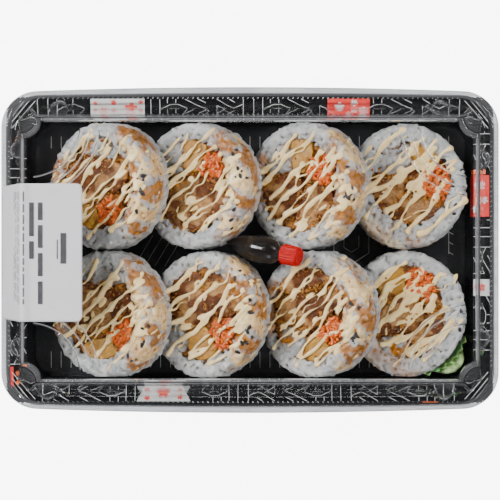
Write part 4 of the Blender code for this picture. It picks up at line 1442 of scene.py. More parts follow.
def surface_height(x, y):
    """Height of the food's top over plan points: for each roll the lower of its cut face and its
    raised side, where a vertical line meets its oval, and the highest of the rolls."""
    best = np.full(np.shape(x), FLOOR_TOP)
    for roll in ROLLS:
        middle, axes = FRAMES[roll.name]
        cos, sin = axes[0][0], axes[0][2]
        across = (y - middle[1]) / (ROLL_WIDTH / 2 * 0.98)
        half = ROLL_LENGTH / 2 * 0.98 * np.sqrt(np.clip(1 - across**2, 0, 1))
        offset = x - middle[0]
        face = middle[2] + (ROLL_HEIGHT + offset * sin) / cos
        if sin > 0:
            side = middle[2] + (half - offset * cos) / sin
            high = np.minimum(face, side)
        else:
            high = np.where(np.abs(offset) < half, face, 0.0)
        local_x = offset * cos + (high - middle[2]) * sin
        local_z = -offset * sin + (high - middle[2]) * cos
        inside = (np.abs(across) < 1) & (local_x > -half - 0.01) & (local_z > 0)
        round_off = np.hypot(local_x / (ROLL_LENGTH / 2), across)
        high = high - 2.6 * smooth_step(round_off, 0.86, 1.02)
        hollow = np.hypot(
            (local_x - roll.shift[0]) / roll.hollow[0], (y - middle[1] - roll.shift[1]) / roll.hollow[1]
        )
        high = high - 1.2 * smooth_step(1.05 - hollow, 0.0, 0.12)
        best = np.where(inside, np.maximum(best, high), best)
    return best


def moving(values, weights):
    """A weighted moving mean along the last axis, with the ends held."""
    reach = len(weights) // 2
    padded = np.pad(values, ((0, 0), (reach, reach)), mode="edge")
    total = sum(weight * padded[:, i : i + values.shape[1]] for i, weight in enumerate(weights))
    return total / sum(weights)


SPAN_STEPS = 2


def draped(plan, lift):
    """Plan paths (k, n, 2) laid over the food: the highest point within a few steps, then smoothed,
    so that a strand spans a narrow gap and sags into a wide one."""
    height = surface_height(plan[..., 0], plan[..., 1])
    padded = np.pad(height, ((0, 0), (SPAN_STEPS, SPAN_STEPS)), mode="edge")
    spans = np.stack([padded[:, i : i + height.shape[1]] for i in range(2 * SPAN_STEPS + 1)])
    height = 0.75 * spans.max(0) + 0.25 * height
    height = moving(height, np.array([1, 3, 5, 6, 5, 3, 1.0]))
    return np.concatenate([plan, (height + lift)[..., None]], axis=-1)


STRAND_SLOPE = math.radians(43)
STATIONS = 72
DROP_AT = 1.4
ROUND_END = 1.2


def strand_set(roll, count, seed, radius, wiggle):
    """Mayonnaise strands over one roll, from lower left to upper right: straight runs with a slow
    sway and a finer wobble, uneven in width, with a drop at one end or both."""
    draw = np.random.default_rng(seed)
    middle, axes = FRAMES[roll.name]
    along = np.array([math.cos(STRAND_SLOPE), math.sin(STRAND_SLOPE)])
    beside = np.array([-along[1], along[0]])
    offsets = np.linspace(-20, 20, count) + draw.uniform(-1.8, 1.8, count)
    half = np.sqrt(np.maximum((ROLL_LENGTH / 2 - 1.0) ** 2 - offsets**2, 20.0))
    start = -half * draw.uniform(0.55, 1.0, count)
    end = half * draw.uniform(0.6, 1.1, count)
    share = np.linspace(0, 1, STATIONS)[None]
    length = (end - start)[:, None]
    distance = start[:, None] + length * share
    phase = draw.uniform(0, TAU, (3, count, 1))
    strong = wiggle * draw.uniform(0.3, 1.0, (count, 1)) ** 2
    sway = 1.2 * np.sin(distance / 8.0 + phase[0]) + 0.8 * np.sin(distance / 3.4 + phase[1])
    sway = sway + strong * np.sin(distance / 1.15 + 0.8 * np.sin(distance / 4 + phase[2]))
    turn = draw.normal(0, 0.06, count)[:, None]
    across = offsets[:, None] + sway + distance * turn
    centre = middle + axes[2] * ROLL_HEIGHT
    spot = distance[..., None] * along + across[..., None] * beside
    plan = np.stack([centre[0] + spot[..., 0] * axes[0][0], centre[1] + spot[..., 1]], axis=-1)
    width = radius * draw.uniform(0.75, 1.25, (count, 1)) * np.ones((count, STATIONS))
    slow = 0.25 * np.sin(distance / 5.3 + phase[0])
    width = width * (1 + 0.25 * np.sin(distance / 2.1 + phase[1]) + slow)
    drop = draw.uniform(0.0, 0.9, (2, count, 1))
    near = distance - start[:, None]
    away = end[:, None] - distance
    first_drop = drop[0] * np.exp(-((near - DROP_AT) / 1.2) ** 2)
    last_drop = drop[1] * np.exp(-((away - DROP_AT) / 1.2) ** 2)
    width = width * (1 + first_drop + last_drop)
    close = np.minimum(np.minimum(near, away), ROUND_END)
    width = width * np.sqrt(np.clip(1 - (1 - close / ROUND_END) ** 2, 0.0, 1))
    return plan, np.maximum(width, 0.02)


def smears(roll, count, spread_mm, middle_of):
    """Low drops of mayonnaise that have run together on the food, round one place of the roll's
    face, as flattened ovals."""
    number = ROLLS.index(roll)
    draw = np.random.default_rng(1200 + number + count)
    middle, axes = FRAMES[roll.name]
    centre = middle + axes[2] * ROLL_HEIGHT
    place = np.array(middle_of) + draw.normal(0, 1, (count, 2)) * spread_mm
    plan = centre[:2] + place * np.array([axes[0][0], 1])
    height = surface_height(plan[:, 0], plan[:, 1])
    upward = np.stack([np.full(count, -axes[0][2] * 0.7), np.zeros(count), np.ones(count)], axis=1)
    upward /= np.linalg.norm(upward, axis=1, keepdims=True)
    heading = draw.uniform(0.3, 1.1, count)
    along = np.stack([np.cos(heading), np.sin(heading), np.zeros(count)], axis=1)
    sizes = np.stack([
        draw.uniform(1.6, 4.2, count), draw.uniform(0.9, 1.7, count), draw.uniform(0.5, 0.8, count)
    ], axis=1)
    form, faces = ball(12, 8)
    keep = height > ROLL_HEIGHT * 0.8
    centres = np.column_stack([plan, height + 0.1])
    return strewn(form, faces, centres[keep], along[keep], upward[keep], sizes[keep])


BROAD = 0.8
BROAD_FLAT = 1.1
THIN = 0.52


def mayo(roll):
    """All the mayonnaise of one roll, run together into one piece: broad strands, thin ones between
    them, and smears on the raised side or, on a flat roll, over its middle."""
    number = ROLLS.index(roll)
    flat = roll.tilt == 0
    parts = []
    for count, radius, wiggle, seed in (
        (8 if flat else 7, BROAD_FLAT if flat else BROAD, 0.25, 900 + number),
        (6, THIN, 0.9, 950 + number),
    ):
        plan, half = strand_set(roll, count, seed, radius, wiggle)
        path = draped(plan, 0.3 * radius)
        heading = np.gradient(plan, axis=1)
        across = np.stack([-heading[..., 1], heading[..., 0], np.zeros(heading.shape[:2])], axis=-1)
        parts.append(swept(path, across, half, half * 0.75, 10))
    if flat:
        parts.append(smears(roll, 26, (8.0, 6.0), (4.0, 6.0)))
    else:
        parts.append(smears(roll, 22, (3.5, 11.0), (21.0, 0.0)))
        parts.append(smears(roll, 8, (9.0, 9.0), (0.0, 0.0)))
    made = fused_by_voxels(roll.name + "_mayonnaise", parts, MAYO_CELL, 2)
    dress(made, "mayo", "rice")


BED_SHAPE = (28, 150)
BED_HEIGHT = 17.0


def crumb_bed(roll):
    """The loose crumb that fills the roll between its fillings: rings of the hollow's oval, shrunk
    towards its middle, raised by noise of two sizes."""
    number = ROLLS.index(roll)
    angle = np.arange(BED_SHAPE[1]) * TAU / BED_SHAPE[1]
    share = np.concatenate([[1.0, 1.0], np.linspace(0.99, 0.03, BED_SHAPE[0] - 2)])
    reach = (oval(*roll.hollow, angle) - 1.1)[None] * share[:, None]
    plan = np.array(roll.shift) + plane_point(np.broadcast_to(angle, BED_SHAPE), reach)
    rows = np.concatenate([plan, np.full((*BED_SHAPE, 1), BED_HEIGHT)], axis=2)
    lumps = layered_noise(rows, 2.2, 140 + number) - 0.5
    rows[..., 2] += 3.4 * lumps + 2.6 * (layered_noise(rows, 8.0, 150 + number) - 0.55)
    rows[:1, :, 2] = 10.0
    points, faces = capped(rows)
    dark = smooth_step(layered_noise(points, 4.0, 160 + number), 0.45, 0.6)
    mesh_piece(
        roll.name + "_crumb_bed", to_world(roll, points), faces, "chicken", "chicken",
        {"crust": np.ones(len(points)), "glaze": dark},
    )


CHICKEN_CRUMBS = 130
OTHER_CRUMBS = 16


def crumbs(roll):
    """Loose crumbs on and round the slices of chicken: small rough lumps, densest at the edges."""
    number = ROLLS.index(roll)
    draw = np.random.default_rng(1100 + number)
    plans = []
    for filling in roll.fillings:
        count = CHICKEN_CRUMBS if filling.kind.startswith("chicken") else OTHER_CRUMBS
        angle = draw.uniform(0, TAU, count)
        reach = filling_reach(roll, filling, angle) * np.minimum(draw.normal(0.9, 0.22, count), 1.04)
        plans.append(np.array([filling.along, filling.across]) + plane_point(angle, reach))
    plan = np.concatenate(plans)
    count = len(plan)
    height = ROLL_HEIGHT - FILLING_DROP + draw.uniform(-0.7, 0.7, count)
    centres = to_world(roll, np.column_stack([plan, height]))
    sizes = draw.uniform(0.25, 0.75, (count, 3))
    form, faces = ball(6, 4)
    form = form * (1 + 1.1 * (noise(form, 0.55, 4)[:, None] - 0.5))
    along, upward = draw.normal(size=(2, count, 3))
    points, groups = strewn(form, faces, centres, along, upward, sizes)
    mesh_piece(
        roll.name + "_crumbs", points, groups, "chicken", "chicken",
        {"crust": np.ones(len(points)), "glaze": np.zeros(len(points))}, smooth=False,
    )


SEED_FORM, SEED_FACES = ball(8, 5)
SEEDS = 20
SEEDS_FLAT = 5


def sesame(roll):
    """Black sesame on the raised side: small teardrops, ovals that taper towards one end, lying on
    the rice in loose clusters along the slope that the surface has there."""
    number = ROLLS.index(roll)
    draw = np.random.default_rng(1000 + number)
    count = SEEDS if roll.tilt else SEEDS_FLAT
    middle, axes = FRAMES[roll.name]
    clusters = draw.uniform(-20, 20, 4)
    y = clusters[draw.integers(0, 4, count)] + draw.normal(0, 2.2, count)
    face_end = ROLL_LENGTH / 2 * np.sqrt(np.clip(1 - (y / (ROLL_WIDTH / 2)) ** 2, 0, 1))
    local_x = face_end + draw.uniform(-8.0, 0.5, count)
    centre = middle + axes[2] * ROLL_HEIGHT
    x = centre[0] + local_x * axes[0][0] + draw.uniform(0, 5.0, count) * (roll.tilt > 0)
    world_y = centre[1] + y
    z = surface_height(x, world_y) + 0.1
    step = 0.4
    slope_x = (surface_height(x + step, world_y) - surface_height(x - step, world_y)) / (2 * step)
    slope_y = (surface_height(x, world_y + step) - surface_height(x, world_y - step)) / (2 * step)
    normal = np.stack([-slope_x, -slope_y, np.ones(count)], axis=1)
    normal /= np.linalg.norm(normal, axis=1, keepdims=True)
    centres = np.stack([x, world_y, z], axis=1) + normal * 0.25
    along = np.cross(normal, draw.normal(size=(count, 3)))
    form = SEED_FORM.copy()
    taper = 1 - 0.45 * np.clip(form[:, 0], -0.3, 1)
    form[:, 1:] *= taper[:, None]
    sizes = np.stack([
        draw.uniform(1.4, 1.75, count), draw.uniform(0.8, 0.98, count), draw.uniform(0.5, 0.65, count)
    ], axis=1)
    points, faces = strewn(form, SEED_FACES, centres, along, normal, sizes)
    mesh_piece(roll.name + "_sesame", points, faces, "sesame", "rice")


# Bottle, leaf and wasabi

BOTTLE_TIP = np.array([23.0, -3.4, 40.0])
BOTTLE_SLOPE = math.radians(30)
BOTTLE_TURN = math.radians(-12)


def bottle_axes():
    """The bottle's axes as rows: its third runs along its middle to the cap's end."""
    sloped = math.pi / 2 - BOTTLE_SLOPE
    turn_y = np.array([
        (math.cos(sloped), 0, math.sin(sloped)), (0, 1, 0), (-math.sin(sloped), 0, math.cos(sloped))
    ])
    turn_z = np.array([
        (math.cos(BOTTLE_TURN), -math.sin(BOTTLE_TURN), 0),
        (math.sin(BOTTLE_TURN), math.cos(BOTTLE_TURN), 0),
        (0, 0, 1),
    ])
    return (turn_z @ turn_y).T


def turned(profile, columns, ribs=0, rib_depth=0.0, rib_from=0.0, rib_to=0.0):
    """A profile of radius and height, from the bottom up, turned round Z, with upright ribs
    between two heights."""
    angle = np.arange(columns) * TAU / columns
    radius, z = profile.T
    rows = np.empty((len(profile), columns, 3))
    groove = 0.5 - 0.5 * np.cos(ribs * angle)
    inside = (z > rib_from) & (z < rib_to)
    reach = radius[:, None] - rib_depth * groove[None] * inside[:, None]
    rows[..., 0] = reach * np.cos(angle)
    rows[..., 1] = reach * np.sin(angle)
    rows[..., 2] = z[:, None]
    return rows


def rounded_line(points, radius, steps):
    """A profile's corners rounded off, as rings are."""
    rings = np.asarray(points, float)[:, None, :]
    return rounded_profile(rings, radius, steps)[:, 0]


# Radius and height, from the bottom up and counted from the cap's end.
FLASK = (
    (0.6, -40.3), (2.3, -37.3), (4.8, -31.5), (6.6, -24.0), (6.4, -16.5), (5.4, -13.4),
    (3.1, -11.0), (3.0, -9.4), (0.6, -9.4),
)
CAP = (
    (0.6, -9.0), (3.4, -9.0), (4.8, -8.6), (4.7, -5.0), (4.6, -0.8), (3.9, 0.0), (2.6, 0.0),
    (2.3, -0.5), (0.5, -0.5),
)
CAP_RIBS = 24
RIB_DEPTH = 0.35


def bottle():
    """The sauce bottle: a soft swelling flask with a short neck and a ribbed screw cap, each its
    rounded profile turned round the bottle's middle line."""
    axes = bottle_axes()
    body = rounded_line(FLASK, 2.2, 6)
    points, faces = capped(turned(body, 48))
    made = mesh_piece("bottle_body", BOTTLE_TIP + points @ axes, faces, "sauce", "sauce_bottle")
    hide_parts("sauce_bottle")
    cap = rounded_line(CAP, 0.35, 4)
    points, faces = capped(turned(cap, 6 * CAP_RIBS, CAP_RIBS, RIB_DEPTH, -8.4, -0.9))
    made = mesh_piece("screw_cap", BOTTLE_TIP + points @ axes, faces, "cap", "cap_plastic")
    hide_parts("bottle_cap")


LEAF_FROM = math.radians(-74)
LEAF_TO = math.radians(-22)
LEAF_RADIUS = 30.5
LEAF_HEIGHT = 12.0
TOOTH_HEIGHT = 6.0
TOOTH_SLOPES = 14
LEAF_HALF_FILM = 0.15


def leaf():
    """The plastic leaf: an upright strip round the last roll, its upper edge in sharp teeth that
    flare outwards. The height of the edge is a saw wave along the strip."""
    centre = FRAMES["roll_8"][0]
    share = np.linspace(0, 1, TOOTH_SLOPES * 12 + 1)
    angle = LEAF_FROM + (LEAF_TO - LEAF_FROM) * share
    saw = 1 - np.abs((share * TOOTH_SLOPES % 2) - 1)
    ripple = 0.25 * np.sin(9 * math.pi * share)
    flare = 1.6 * np.sin(math.pi * share)
    height = LEAF_HEIGHT + 0.5 + (TOOTH_HEIGHT - 0.5) * saw
    rise = np.linspace(0, 1, 10)[:, None]
    out = LEAF_RADIUS + ripple[None] + flare[None] * (0.3 * rise + 0.7 * saw * rise**3)
    z = FLOOR_TOP + 0.6 + rise * height
    outer, inner = [
        np.stack([centre[0] + np.cos(angle) * reach, centre[1] + np.sin(angle) * reach, z], axis=-1)
        for reach in (out + LEAF_HALF_FILM, out - LEAF_HALF_FILM)
    ]
    rows, columns = z.shape
    loop = np.concatenate([outer, inner[::-1]])
    faces = grid_faces(2 * rows, columns, wrap_rows=True)
    ends = []
    for column in (0, columns - 1):
        corner = np.arange(2 * rows) * columns + column
        back = corner[::-1]
        quads = np.stack([corner[: rows - 1], corner[1:rows], back[1:rows], back[: rows - 1]], axis=1)
        ends.append(quads if column else quads[:, ::-1])
    made = mesh_piece("leaf_film", loop.reshape(-1, 3), [faces, *ends], "leaf", "leaf_plastic")
    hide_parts("leaf")


def wall_distance(centre, angle, clear):
    """Distance from centre to the tray's wall at its foot, less the clear space, towards angle."""
    half_x, half_y, _, corner, _ = TRAY_RINGS[-2] - clear
    ray = np.stack([np.cos(angle), np.sin(angle)], axis=-1)
    reach = np.minimum((half_x - centre[0]) / ray[:, 0], (-half_y - centre[1]) / ray[:, 1])
    to_middle = np.array([half_x - corner, -half_y + corner]) - centre[:2]
    nearest = ray @ to_middle
    aside = np.linalg.norm(to_middle - ray * nearest[:, None], axis=1)
    arc = nearest + np.sqrt(np.maximum(corner**2 - aside**2, 0))
    return np.where(aside < corner, np.minimum(reach, arc), reach)


WASABI_FROM = math.radians(-64)
WASABI_SPAN = math.radians(33)
WASABI_INNER = 32.2
WASABI_HEIGHT = 13.0


def wasabi():
    """A soft pinched lump between leaf and wall: rounded square sections along an arc round the last
    roll, which shrink at both ends, roughened by noise."""
    centre = FRAMES["roll_8"][0]
    share = np.linspace(0, 1, 40)
    angle = WASABI_FROM + WASABI_SPAN * share
    outer = wall_distance(centre, angle, 1.05)
    swell = 1 - 0.75 * np.abs(2 * share - 1) ** 3
    lump = 1 + 0.10 * np.sin(11 * share)
    middle = (WASABI_INNER + outer) / 2
    half = (outer - WASABI_INNER) / 2 * swell
    turn = np.arange(28) * TAU / 28
    out = np.cos(turn)
    rise = 0.5 + 0.5 * np.sin(turn)
    square = np.sign(out) * np.abs(out) ** 0.6
    distance = middle[:, None] + half[:, None] * square[None]
    rows = np.stack([
        centre[0] + np.cos(angle)[:, None] * distance,
        centre[1] + np.sin(angle)[:, None] * distance,
        FLOOR_TOP + 0.6 + WASABI_HEIGHT * rise[None] * (swell * lump)[:, None],
    ], axis=-1)
    rough = layered_noise(rows, 4.0, 3) - 0.5
    rows[..., 2] = np.maximum(rows[..., 2] + 2.2 * rough * rise[None], FLOOR_TOP + 0.6)
    points, faces = capped(rows[:, ::-1])
    made = mesh_piece("wasabi_lump", points, faces, "wasabi", "wasabi")
    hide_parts("wasabi")


# Label

LABEL_HALF = 31.7
LABEL_Y = -1.2
LABEL_END_X = -77.0
LABEL_RISE = 0.5
LABEL_CORNER = 2.5
LABEL_PAPER = 0.2
BAR_LIFT = 0.24


def label_path():
    """The label's line from its free end over the bead and down to the flange, in x and z."""
    panel, bead, flange = LID_RINGS[-1], LID_RINGS[-2], LID_RINGS[1]
    corners = np.array([
        (LABEL_END_X, panel[2] + LABEL_RISE),
        (-(panel[0] - 1.5), panel[2] + LABEL_RISE),
        (-(bead[0] - 0.6), bead[2] + LABEL_RISE),
        (-(bead[0] + 1.6), bead[2] - 0.1),
        (-(flange[0] - 0.2), flange[2] + 1.0),
    ])
    return rounded_line(corners, 1.2, 6)


def resampled(path, step):
    """The path's points at even steps."""
    lengths = np.concatenate(([0.0], np.cumsum(np.linalg.norm(np.diff(path, axis=0), axis=1))))
    marks = np.linspace(0, lengths[-1], max(2, int(lengths[-1] / step)))
    return np.stack([np.interp(marks, lengths, column) for column in path.T], axis=1), marks


def label_buckle(across, marks):
    """The paper's slow wave over its width, which grows where it bridges the lid's side."""
    return 0.25 * np.sin(across * 5.0) * smooth_step(marks, 34, 44)


def label():
    """The paper label: a sheet along its path with round corners at the free end, and a faint
    buckle where it bridges the lid's side."""
    path, marks = resampled(label_path(), 0.9)
    across = np.linspace(-1, 1, 61)
    short = np.maximum(LABEL_CORNER - marks, 0)
    inset = LABEL_CORNER - np.sqrt(LABEL_CORNER**2 - short**2)
    reach = LABEL_HALF - inset
    y = LABEL_Y + reach[:, None] * across
    buckle = label_buckle(across, marks[:, None])
    x = np.broadcast_to(path[:, :1], y.shape) - 0.6 * buckle
    z = path[:, 1:] + buckle
    top = np.stack([x, y, z], axis=-1)
    faces = grid_faces(*top.shape[:2])
    made = mesh_piece("label_paper", top[::-1].reshape(-1, 3), faces, "paper", "paper")
    thick = made.modifiers.new("paper", "SOLIDIFY")
    thick.thickness = LABEL_PAPER * MM
    thick.offset = 1
    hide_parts("label")


# Rows of thick bars: distance along the label, height of the bars, and each bar's length.
WORD_ROWS = (
    (19.2, 2.1, (8.0, 10.4, 10.6, 10.4)),
    (23.2, 2.1, (15.4, 8.0)),
)
WORD_GAP = 2.4
FINE_ROWS = 5
FINE_STEP = 3.1


def label_print():
    """Plain grey bars in the place of print: two broken rows of thick ones, as two lines of words,
    and fine ones at the end by the flange."""
    path, marks = resampled(label_path(), 0.25)
    draw = np.random.default_rng(21)
    bars = []
    for mark, width, words in WORD_ROWS:
        start = -23.0
        for length in words:
            bars.append((mark, start, start + length, width))
            start += length + WORD_GAP
    bars.append((8.6, -9.0, 5.0, 2.6))
    bars.append((11.4, -6.0, 3.0, 0.4))
    for line in range(FINE_ROWS):
        start = -28.0
        while start < 22:
            length = draw.uniform(1.6, 5.5)
            bars.append((27.0 + line * FINE_STEP, start, start + length, 0.5))
            start += length + 1.0
    parts = []
    for mark, start, end, width in bars:
        y = np.linspace(start, end, max(2, int((end - start) / 0.8)))[:, None]
        at = mark + np.array([-0.5, 0.5])[None] * width
        x = np.interp(at, marks, path[:, 0]) + 0 * y
        z = np.interp(at, marks, path[:, 1]) + BAR_LIFT + 0 * y
        buckle = label_buckle(y / LABEL_HALF, at)
        grid = np.stack([x - 0.6 * buckle, LABEL_Y - y + 0 * at, z + buckle], axis=-1)
        parts.append((grid.reshape(-1, 3), [grid_faces(len(grid), 2)]))
    points, faces = joined(parts)
    mesh_piece("label_bars", points, faces, "print", "paper")


# The tray's print

INK_LIFT = 0.2
INK_CELL = 0.5
LINE_WIDTH = 0.29


def laid(plan, lift):
    """A plan grid (rows, columns, 2) laid on the tray, as points and faces."""
    rows, columns = plan.shape[:2]
    z = tray_height(plan[..., 0].ravel(), plan[..., 1].ravel()).reshape(rows, columns, 1) + lift
    return np.concatenate([plan, z], axis=2).reshape(-1, 3), [grid_faces(rows, columns)]


def ribbon(line, width, lift):
    """A flat ribbon on the tray along a plan line."""
    path, _ = resampled(np.asarray(line, float), INK_CELL)
    heading = np.gradient(path, axis=0)
    heading /= np.linalg.norm(heading, axis=1, keepdims=True) + 1e-9
    across = np.stack([-heading[:, 1], heading[:, 0]], axis=1) * width / 2
    return laid(np.stack([path + across, path - across], axis=1), lift)


def patch(corners, lift):
    """A four-sided patch of ink on the tray: a blend of its corners, given counter-clockwise."""
    first, second, third, fourth = np.asarray(corners, float)
    u = np.linspace(0, 1, int(np.linalg.norm(second - first) / INK_CELL) + 2)[:, None, None]
    v = np.linspace(0, 1, int(np.linalg.norm(fourth - first) / INK_CELL) + 2)[None, :, None]
    plan = (1 - u) * ((1 - v) * first + v * fourth) + u * ((1 - v) * second + v * third)
    return laid(plan, lift)


def blossom(centre, size, turn, lift):
    """A flower of five petals, each with a small notch: the radius is a wave round the centre."""
    angle = np.linspace(0, TAU, 61)[:, None]
    petal = np.abs(np.cos(2.5 * (angle - turn)))
    notch = 0.16 * np.exp(-((petal - 1) / 0.02) ** 2)
    reach = size * (0.42 + 0.58 * petal**0.7 - notch) * np.linspace(0.06, 1, 7)[None]
    plan = np.array(centre) + np.stack([np.cos(angle) * reach, np.sin(angle) * reach], axis=-1)
    points, faces = laid(plan, lift)
    return points, [faces[0][:, ::-1]]


RIM_DEPTH = 8.4
MOTIF_STEP = 49.4
LIP_STEP = 2.4
RIM_SIDES = (
    (np.array([1.0, 0.0]), np.array([0.0, 1.0]), 64.0, 102.0),
    (np.array([1.0, 0.0]), np.array([0.0, -1.0]), 64.0, 102.0),
    (np.array([0.0, 1.0]), np.array([1.0, 0.0]), 107.2, 56.0),
    (np.array([0.0, 1.0]), np.array([-1.0, 0.0]), 107.2, 56.0),
)


def half_hexagons():
    """Two nested half hexagons with upright sides, open outwards."""
    lines = []
    for nest in range(2):
        half = 5.4 - 3.1 * nest
        tip = 0.5 + 3.3 * nest
        bend = tip + half * math.tan(math.radians(30))
        lines.append([(-half, RIM_DEPTH), (-half, bend), (0.0, tip), (half, bend), (half, RIM_DEPTH)])
    return lines


def rim_motif():
    """One repeat of the rim's pattern: three upright lines, then long slants that kink and meet.
    Marks run along the rim in mm and across it from 0 at the inner edge to 1."""
    lines = (
        ((0.0, 0.0), (0.0, 1.0)),
        ((5.0, 0.0), (5.0, 1.0)),
        ((9.3, 0.0), (9.3, 1.0)),
        ((9.6, 0.35), (14.2, 0.68), (18.0, 0.70), (22.5, 0.42), (20.0, 0.05)),
        ((13.0, 0.76), (13.0, 1.0)),
        ((17.0, 0.76), (17.0, 1.0)),
        ((21.4, 1.0), (33.0, 0.28), (30.0, 0.0)),
        ((27.8, 1.0), (31.4, 0.78)),
        ((36.7, 0.0), (36.7, 0.62), (44.4, 0.06)),
        ((36.7, 1.0), (44.6, 0.42), (49.2, 0.70)),
        ((42.6, 1.0), (45.4, 0.80)),
    )
    return [[(u, v * RIM_DEPTH) for u, v in line] for line in lines]


def rim_lines():
    """The pattern along the rim: one motif repeated on all four sides, with short ticks on the
    outer lip and long slants in the corners."""
    lines = []
    for side, (along, outward, foot, half) in enumerate(RIM_SIDES):
        flip = -1 if side % 2 else 1
        for place in range(math.ceil(2 * half / MOTIF_STEP)):
            first = place * MOTIF_STEP - half + 4.0 * side
            for line in rim_motif():
                if first + line[0][0] < half and first + line[-1][0] < half:
                    lines.append([along * flip * (first + u) + outward * (foot + v) for u, v in line])
        for place in range(int(2 * half / LIP_STEP)):
            start = -half + place * LIP_STEP
            lines.append([
                along * start + outward * (foot + RIM_DEPTH + 0.25),
                along * (start + 0.5) + outward * (foot + RIM_DEPTH + 0.9),
            ])
    for x in (-1, 1):
        for y in (-1, 1):
            for step in (0.0, 3.0, 6.0):
                lines.append([(x * (103.0 + step), y * 71.6), (x * 114.2, y * (58.5 + step))])
    return lines


def floor_lines():
    """Print on the floor where it shows between the rolls: slants, nested half hexagons, and rows of
    short upright strokes near both long sides."""
    lines = []
    for step in range(4):
        lines.append([(-57.0 + 5 * step, -8.0), (-48.0 + 5 * step, 7.0)])
    for line in half_hexagons():
        lines.append([(50.0 + 1.6 * u, -8.0 + 1.8 * v) for u, v in line])
    for x in np.arange(-98.0, 100.0, 4.9):
        lines.append([(x, -58.0), (x, -50.0)])
        lines.append([(x, 50.0), (x, 56.0)])
    lines.append([(98.0, -2.0), (98.0, 14.0)])
    for y in (-1.0, 4.0, 9.0):
        lines.append([(98.0, y), (100.2, y - 1.3)])
    return lines


def print_field(name, ink, patches, flowers):
    """One colour of the print: its patches, and its flowers on patches of the other colour."""
    points, faces = joined([patch(corners, INK_LIFT) for corners in patches] + [
        blossom(centre, size, turn, INK_LIFT + 0.05) for centre, size, turn in flowers
    ])
    mesh_piece(name, points, faces, ink, "tray_plastic")


def tray_print():
    """The print: pale lines, and pale and red patches with flowers of the other colour."""
    pale_patches = (
        ((-76.6, 63.4), (-50.6, 63.4), (-50.6, 72.6), (-76.6, 72.6)),
        ((-33.0, -63.6), (-50.0, -63.6), (-54.4, -72.6), (-28.6, -72.6)),
        ((107.2, -14.0), (107.2, -22.0), (115.0, -22.0), (115.0, -14.0)),
    )
    red_patches = (
        ((37.2, 63.2), (57.6, 63.2), (57.6, 72.6), (37.2, 72.6)),
        ((106.8, 36.0), (106.8, 16.0), (114.8, 16.0), (114.8, 36.0)),
        ((-113.4, -56.0), (-113.4, -66.0), (-115.2, -65.0), (-115.2, -56.0)),
    )
    covered = [np.array(corners) for corners in pale_patches[:2] + red_patches[:2]]
    lines = []
    for line in rim_lines():
        middle = np.mean(line, axis=0)
        if not any(np.all((area.min(0) < middle) & (middle < area.max(0))) for area in covered):
            lines.append(line)
    points, faces = joined([ribbon(line, LINE_WIDTH, INK_LIFT + 0.03) for line in lines + floor_lines()])
    mesh_piece("print_lines", points, faces, "ink_line", "tray_plastic")
    print_field("print_pale", "ink_pale", pale_patches, (
        ((43.0, 68.6), 2.6, 0.3), ((50.0, 70.4), 2.0, 1.0), ((54.4, 66.0), 2.7, 0.1),
        ((47.4, 65.0), 1.5, 0.6), ((110.4, 31.0), 2.6, 0.4), ((112.4, 24.0), 2.0, 0.9),
        ((109.0, 19.6), 2.2, 0.2),
    ))
    print_field("print_red", "ink_red", red_patches, (
        ((-57.2, 67.6), 3.4, 0.2), ((-70.4, 66.2), 2.2, 0.8), ((-65.4, 70.6), 1.5, 0.1),
        ((-74.2, 70.2), 1.2, 0.5), ((-52.4, 70.8), 1.3, 0.4), ((-41.6, -68.0), 3.6, 0.3),
        ((-49.4, -70.8), 1.6, 0.9), ((-33.6, -70.4), 1.5, 0.1), ((110.6, -18.0), 2.4, 0.5),
    ))
    points, faces = joined([
        patch(((83.0, -72.6), (83.0, -73.6), (90.0, -73.6), (90.0, -72.6)), INK_LIFT),
        patch(((107.0, 38.6), (107.0, 36.4), (113.0, 36.4), (113.0, 38.6)), INK_LIFT + 0.01),
        blossom((-111.0, -59.0), 1.5, 0.4, INK_LIFT),
        blossom((-111.4, -63.6), 1.1, 0.2, INK_LIFT),
        blossom((-57.2, 67.6), 0.9, 0.2, INK_LIFT + 0.09),
        blossom((-41.6, -68.0), 0.9, 0.3, INK_LIFT + 0.09),
    ])
    mesh_piece("print_orange", points, faces, "ink_orange", "tray_plastic")


# Stage: name, place and width of each lamp in metres, and its power in watts.
LAMPS = (
    ("lamp_left", (-1.0, 0.4, 0.75), 16.5, 0.4),
    ("lamp_right", (0.95, 0.45, 0.85), 8.0, 0.5),
    ("lamp_near", (0.0, -1.15, 0.8), 4.0, 0.6),
)
SPARK_TURNS = [math.radians(45 + 90 * step) for step in range(4)]
SPARKS = tuple(
    (f"spark_{index}", (0.8 * math.cos(turn), 0.8 * math.sin(turn), 0.85), 1.3, 0.05)
    for index, turn in enumerate(SPARK_TURNS)
)
FLOOR_HALF = 2000.0
CAMERA_HEIGHT = 0.72


def studio_light():
    """A world that is dark overhead, so that flat clear plastic mirrors nothing bright into the
    camera, and paler towards the horizon."""
    world = bpy.data.worlds.new("studio")
    world.use_nodes = True
    tree = world.node_tree
    direction = node(tree, "ShaderNodeTexCoord").outputs["Generated"]
    upward = node(tree, "ShaderNodeSeparateXYZ", {0: direction}).outputs["Z"]
    strength = in_range(tree, upward, 0.35, 0.85, 0.12, 0.03)
    value_of(tree, tree.nodes["Background"].inputs["Strength"], strength)
    tree.nodes["Background"].inputs["Color"].default_value = (1.0, 1.0, 1.0, 1.0)
    bpy.context.scene.world = world


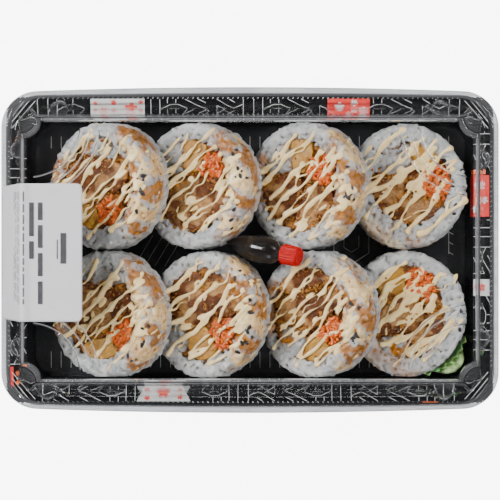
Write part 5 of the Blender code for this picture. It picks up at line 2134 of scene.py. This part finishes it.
def pale_floor():
    """A flat grid that the camera sees as white and that lights nothing else."""
    marks = np.linspace(-FLOOR_HALF, FLOOR_HALF, 5)
    x, y = np.meshgrid(marks, marks)
    points = np.stack([x, y, np.full_like(x, -0.4)], axis=-1).reshape(-1, 3)
    made, tree, shader = blank("floor")
    tone = mixed(tree, patches_of(tree, 300.0, 0.2, 0.8), colour(84, 84, 86), colour(90, 90, 92))
    surfaced(tree, shader, tone, 0.9)
    shader["Emission Color"].default_value = (1.0, 1.0, 1.0, 1.0)
    direct = node(tree, "ShaderNodeLightPath").outputs["Is Camera Ray"]
    tree.links.new(maths(tree, "MULTIPLY", direct, 8.0), shader["Emission Strength"])
    floor = mesh_piece("floor", points, grid_faces(5, 5), None, None)
    floor.data.materials.append(made)


def lamps():
    """Soft square lamps, each turned to the tray's middle."""
    for name, place, power, width in LAMPS + SPARKS:
        lamp = bpy.data.lights.new(name, "AREA")
        lamp.shape = "RECTANGLE"
        lamp.size = width
        lamp.size_y = width
        lamp.energy = power
        made = bpy.data.objects.new(name, lamp)
        made.location = place
        towards = Vector((0.0, 0.0, 0.02)) - Vector(place)
        made.rotation_euler = towards.to_track_quat("-Z", "Y").to_euler()
        bpy.context.scene.collection.objects.link(made)


def camera_above():
    """A camera straight above the tray's middle, upright in the picture."""
    lens = bpy.data.cameras.new("camera")
    lens.lens = 105
    lens.sensor_width = 36
    camera = bpy.data.objects.new("camera", lens)
    camera.location = (0.0, 0.0, CAMERA_HEIGHT)
    bpy.context.scene.collection.objects.link(camera)
    bpy.context.scene.camera = camera


pale_floor()
lamps()
camera_above()
studio_light()
tray()
lid()
label()
label_print()
tray_print()
MAKERS = {
    "core_rice": core_rice,
    "chicken_a": chicken,
    "chicken_b": chicken,
    "carrot": carrot,
    "pickle": pickle,
}
for roll in ROLLS:
    outer_rice(roll)
    nori_ring(roll)
    for filling in roll.fillings:
        MAKERS[filling.kind](roll, filling)
    crumb_bed(roll)
    crumbs(roll)
    mayo(roll)
    sesame(roll)
bottle()
leaf()
wasabi()
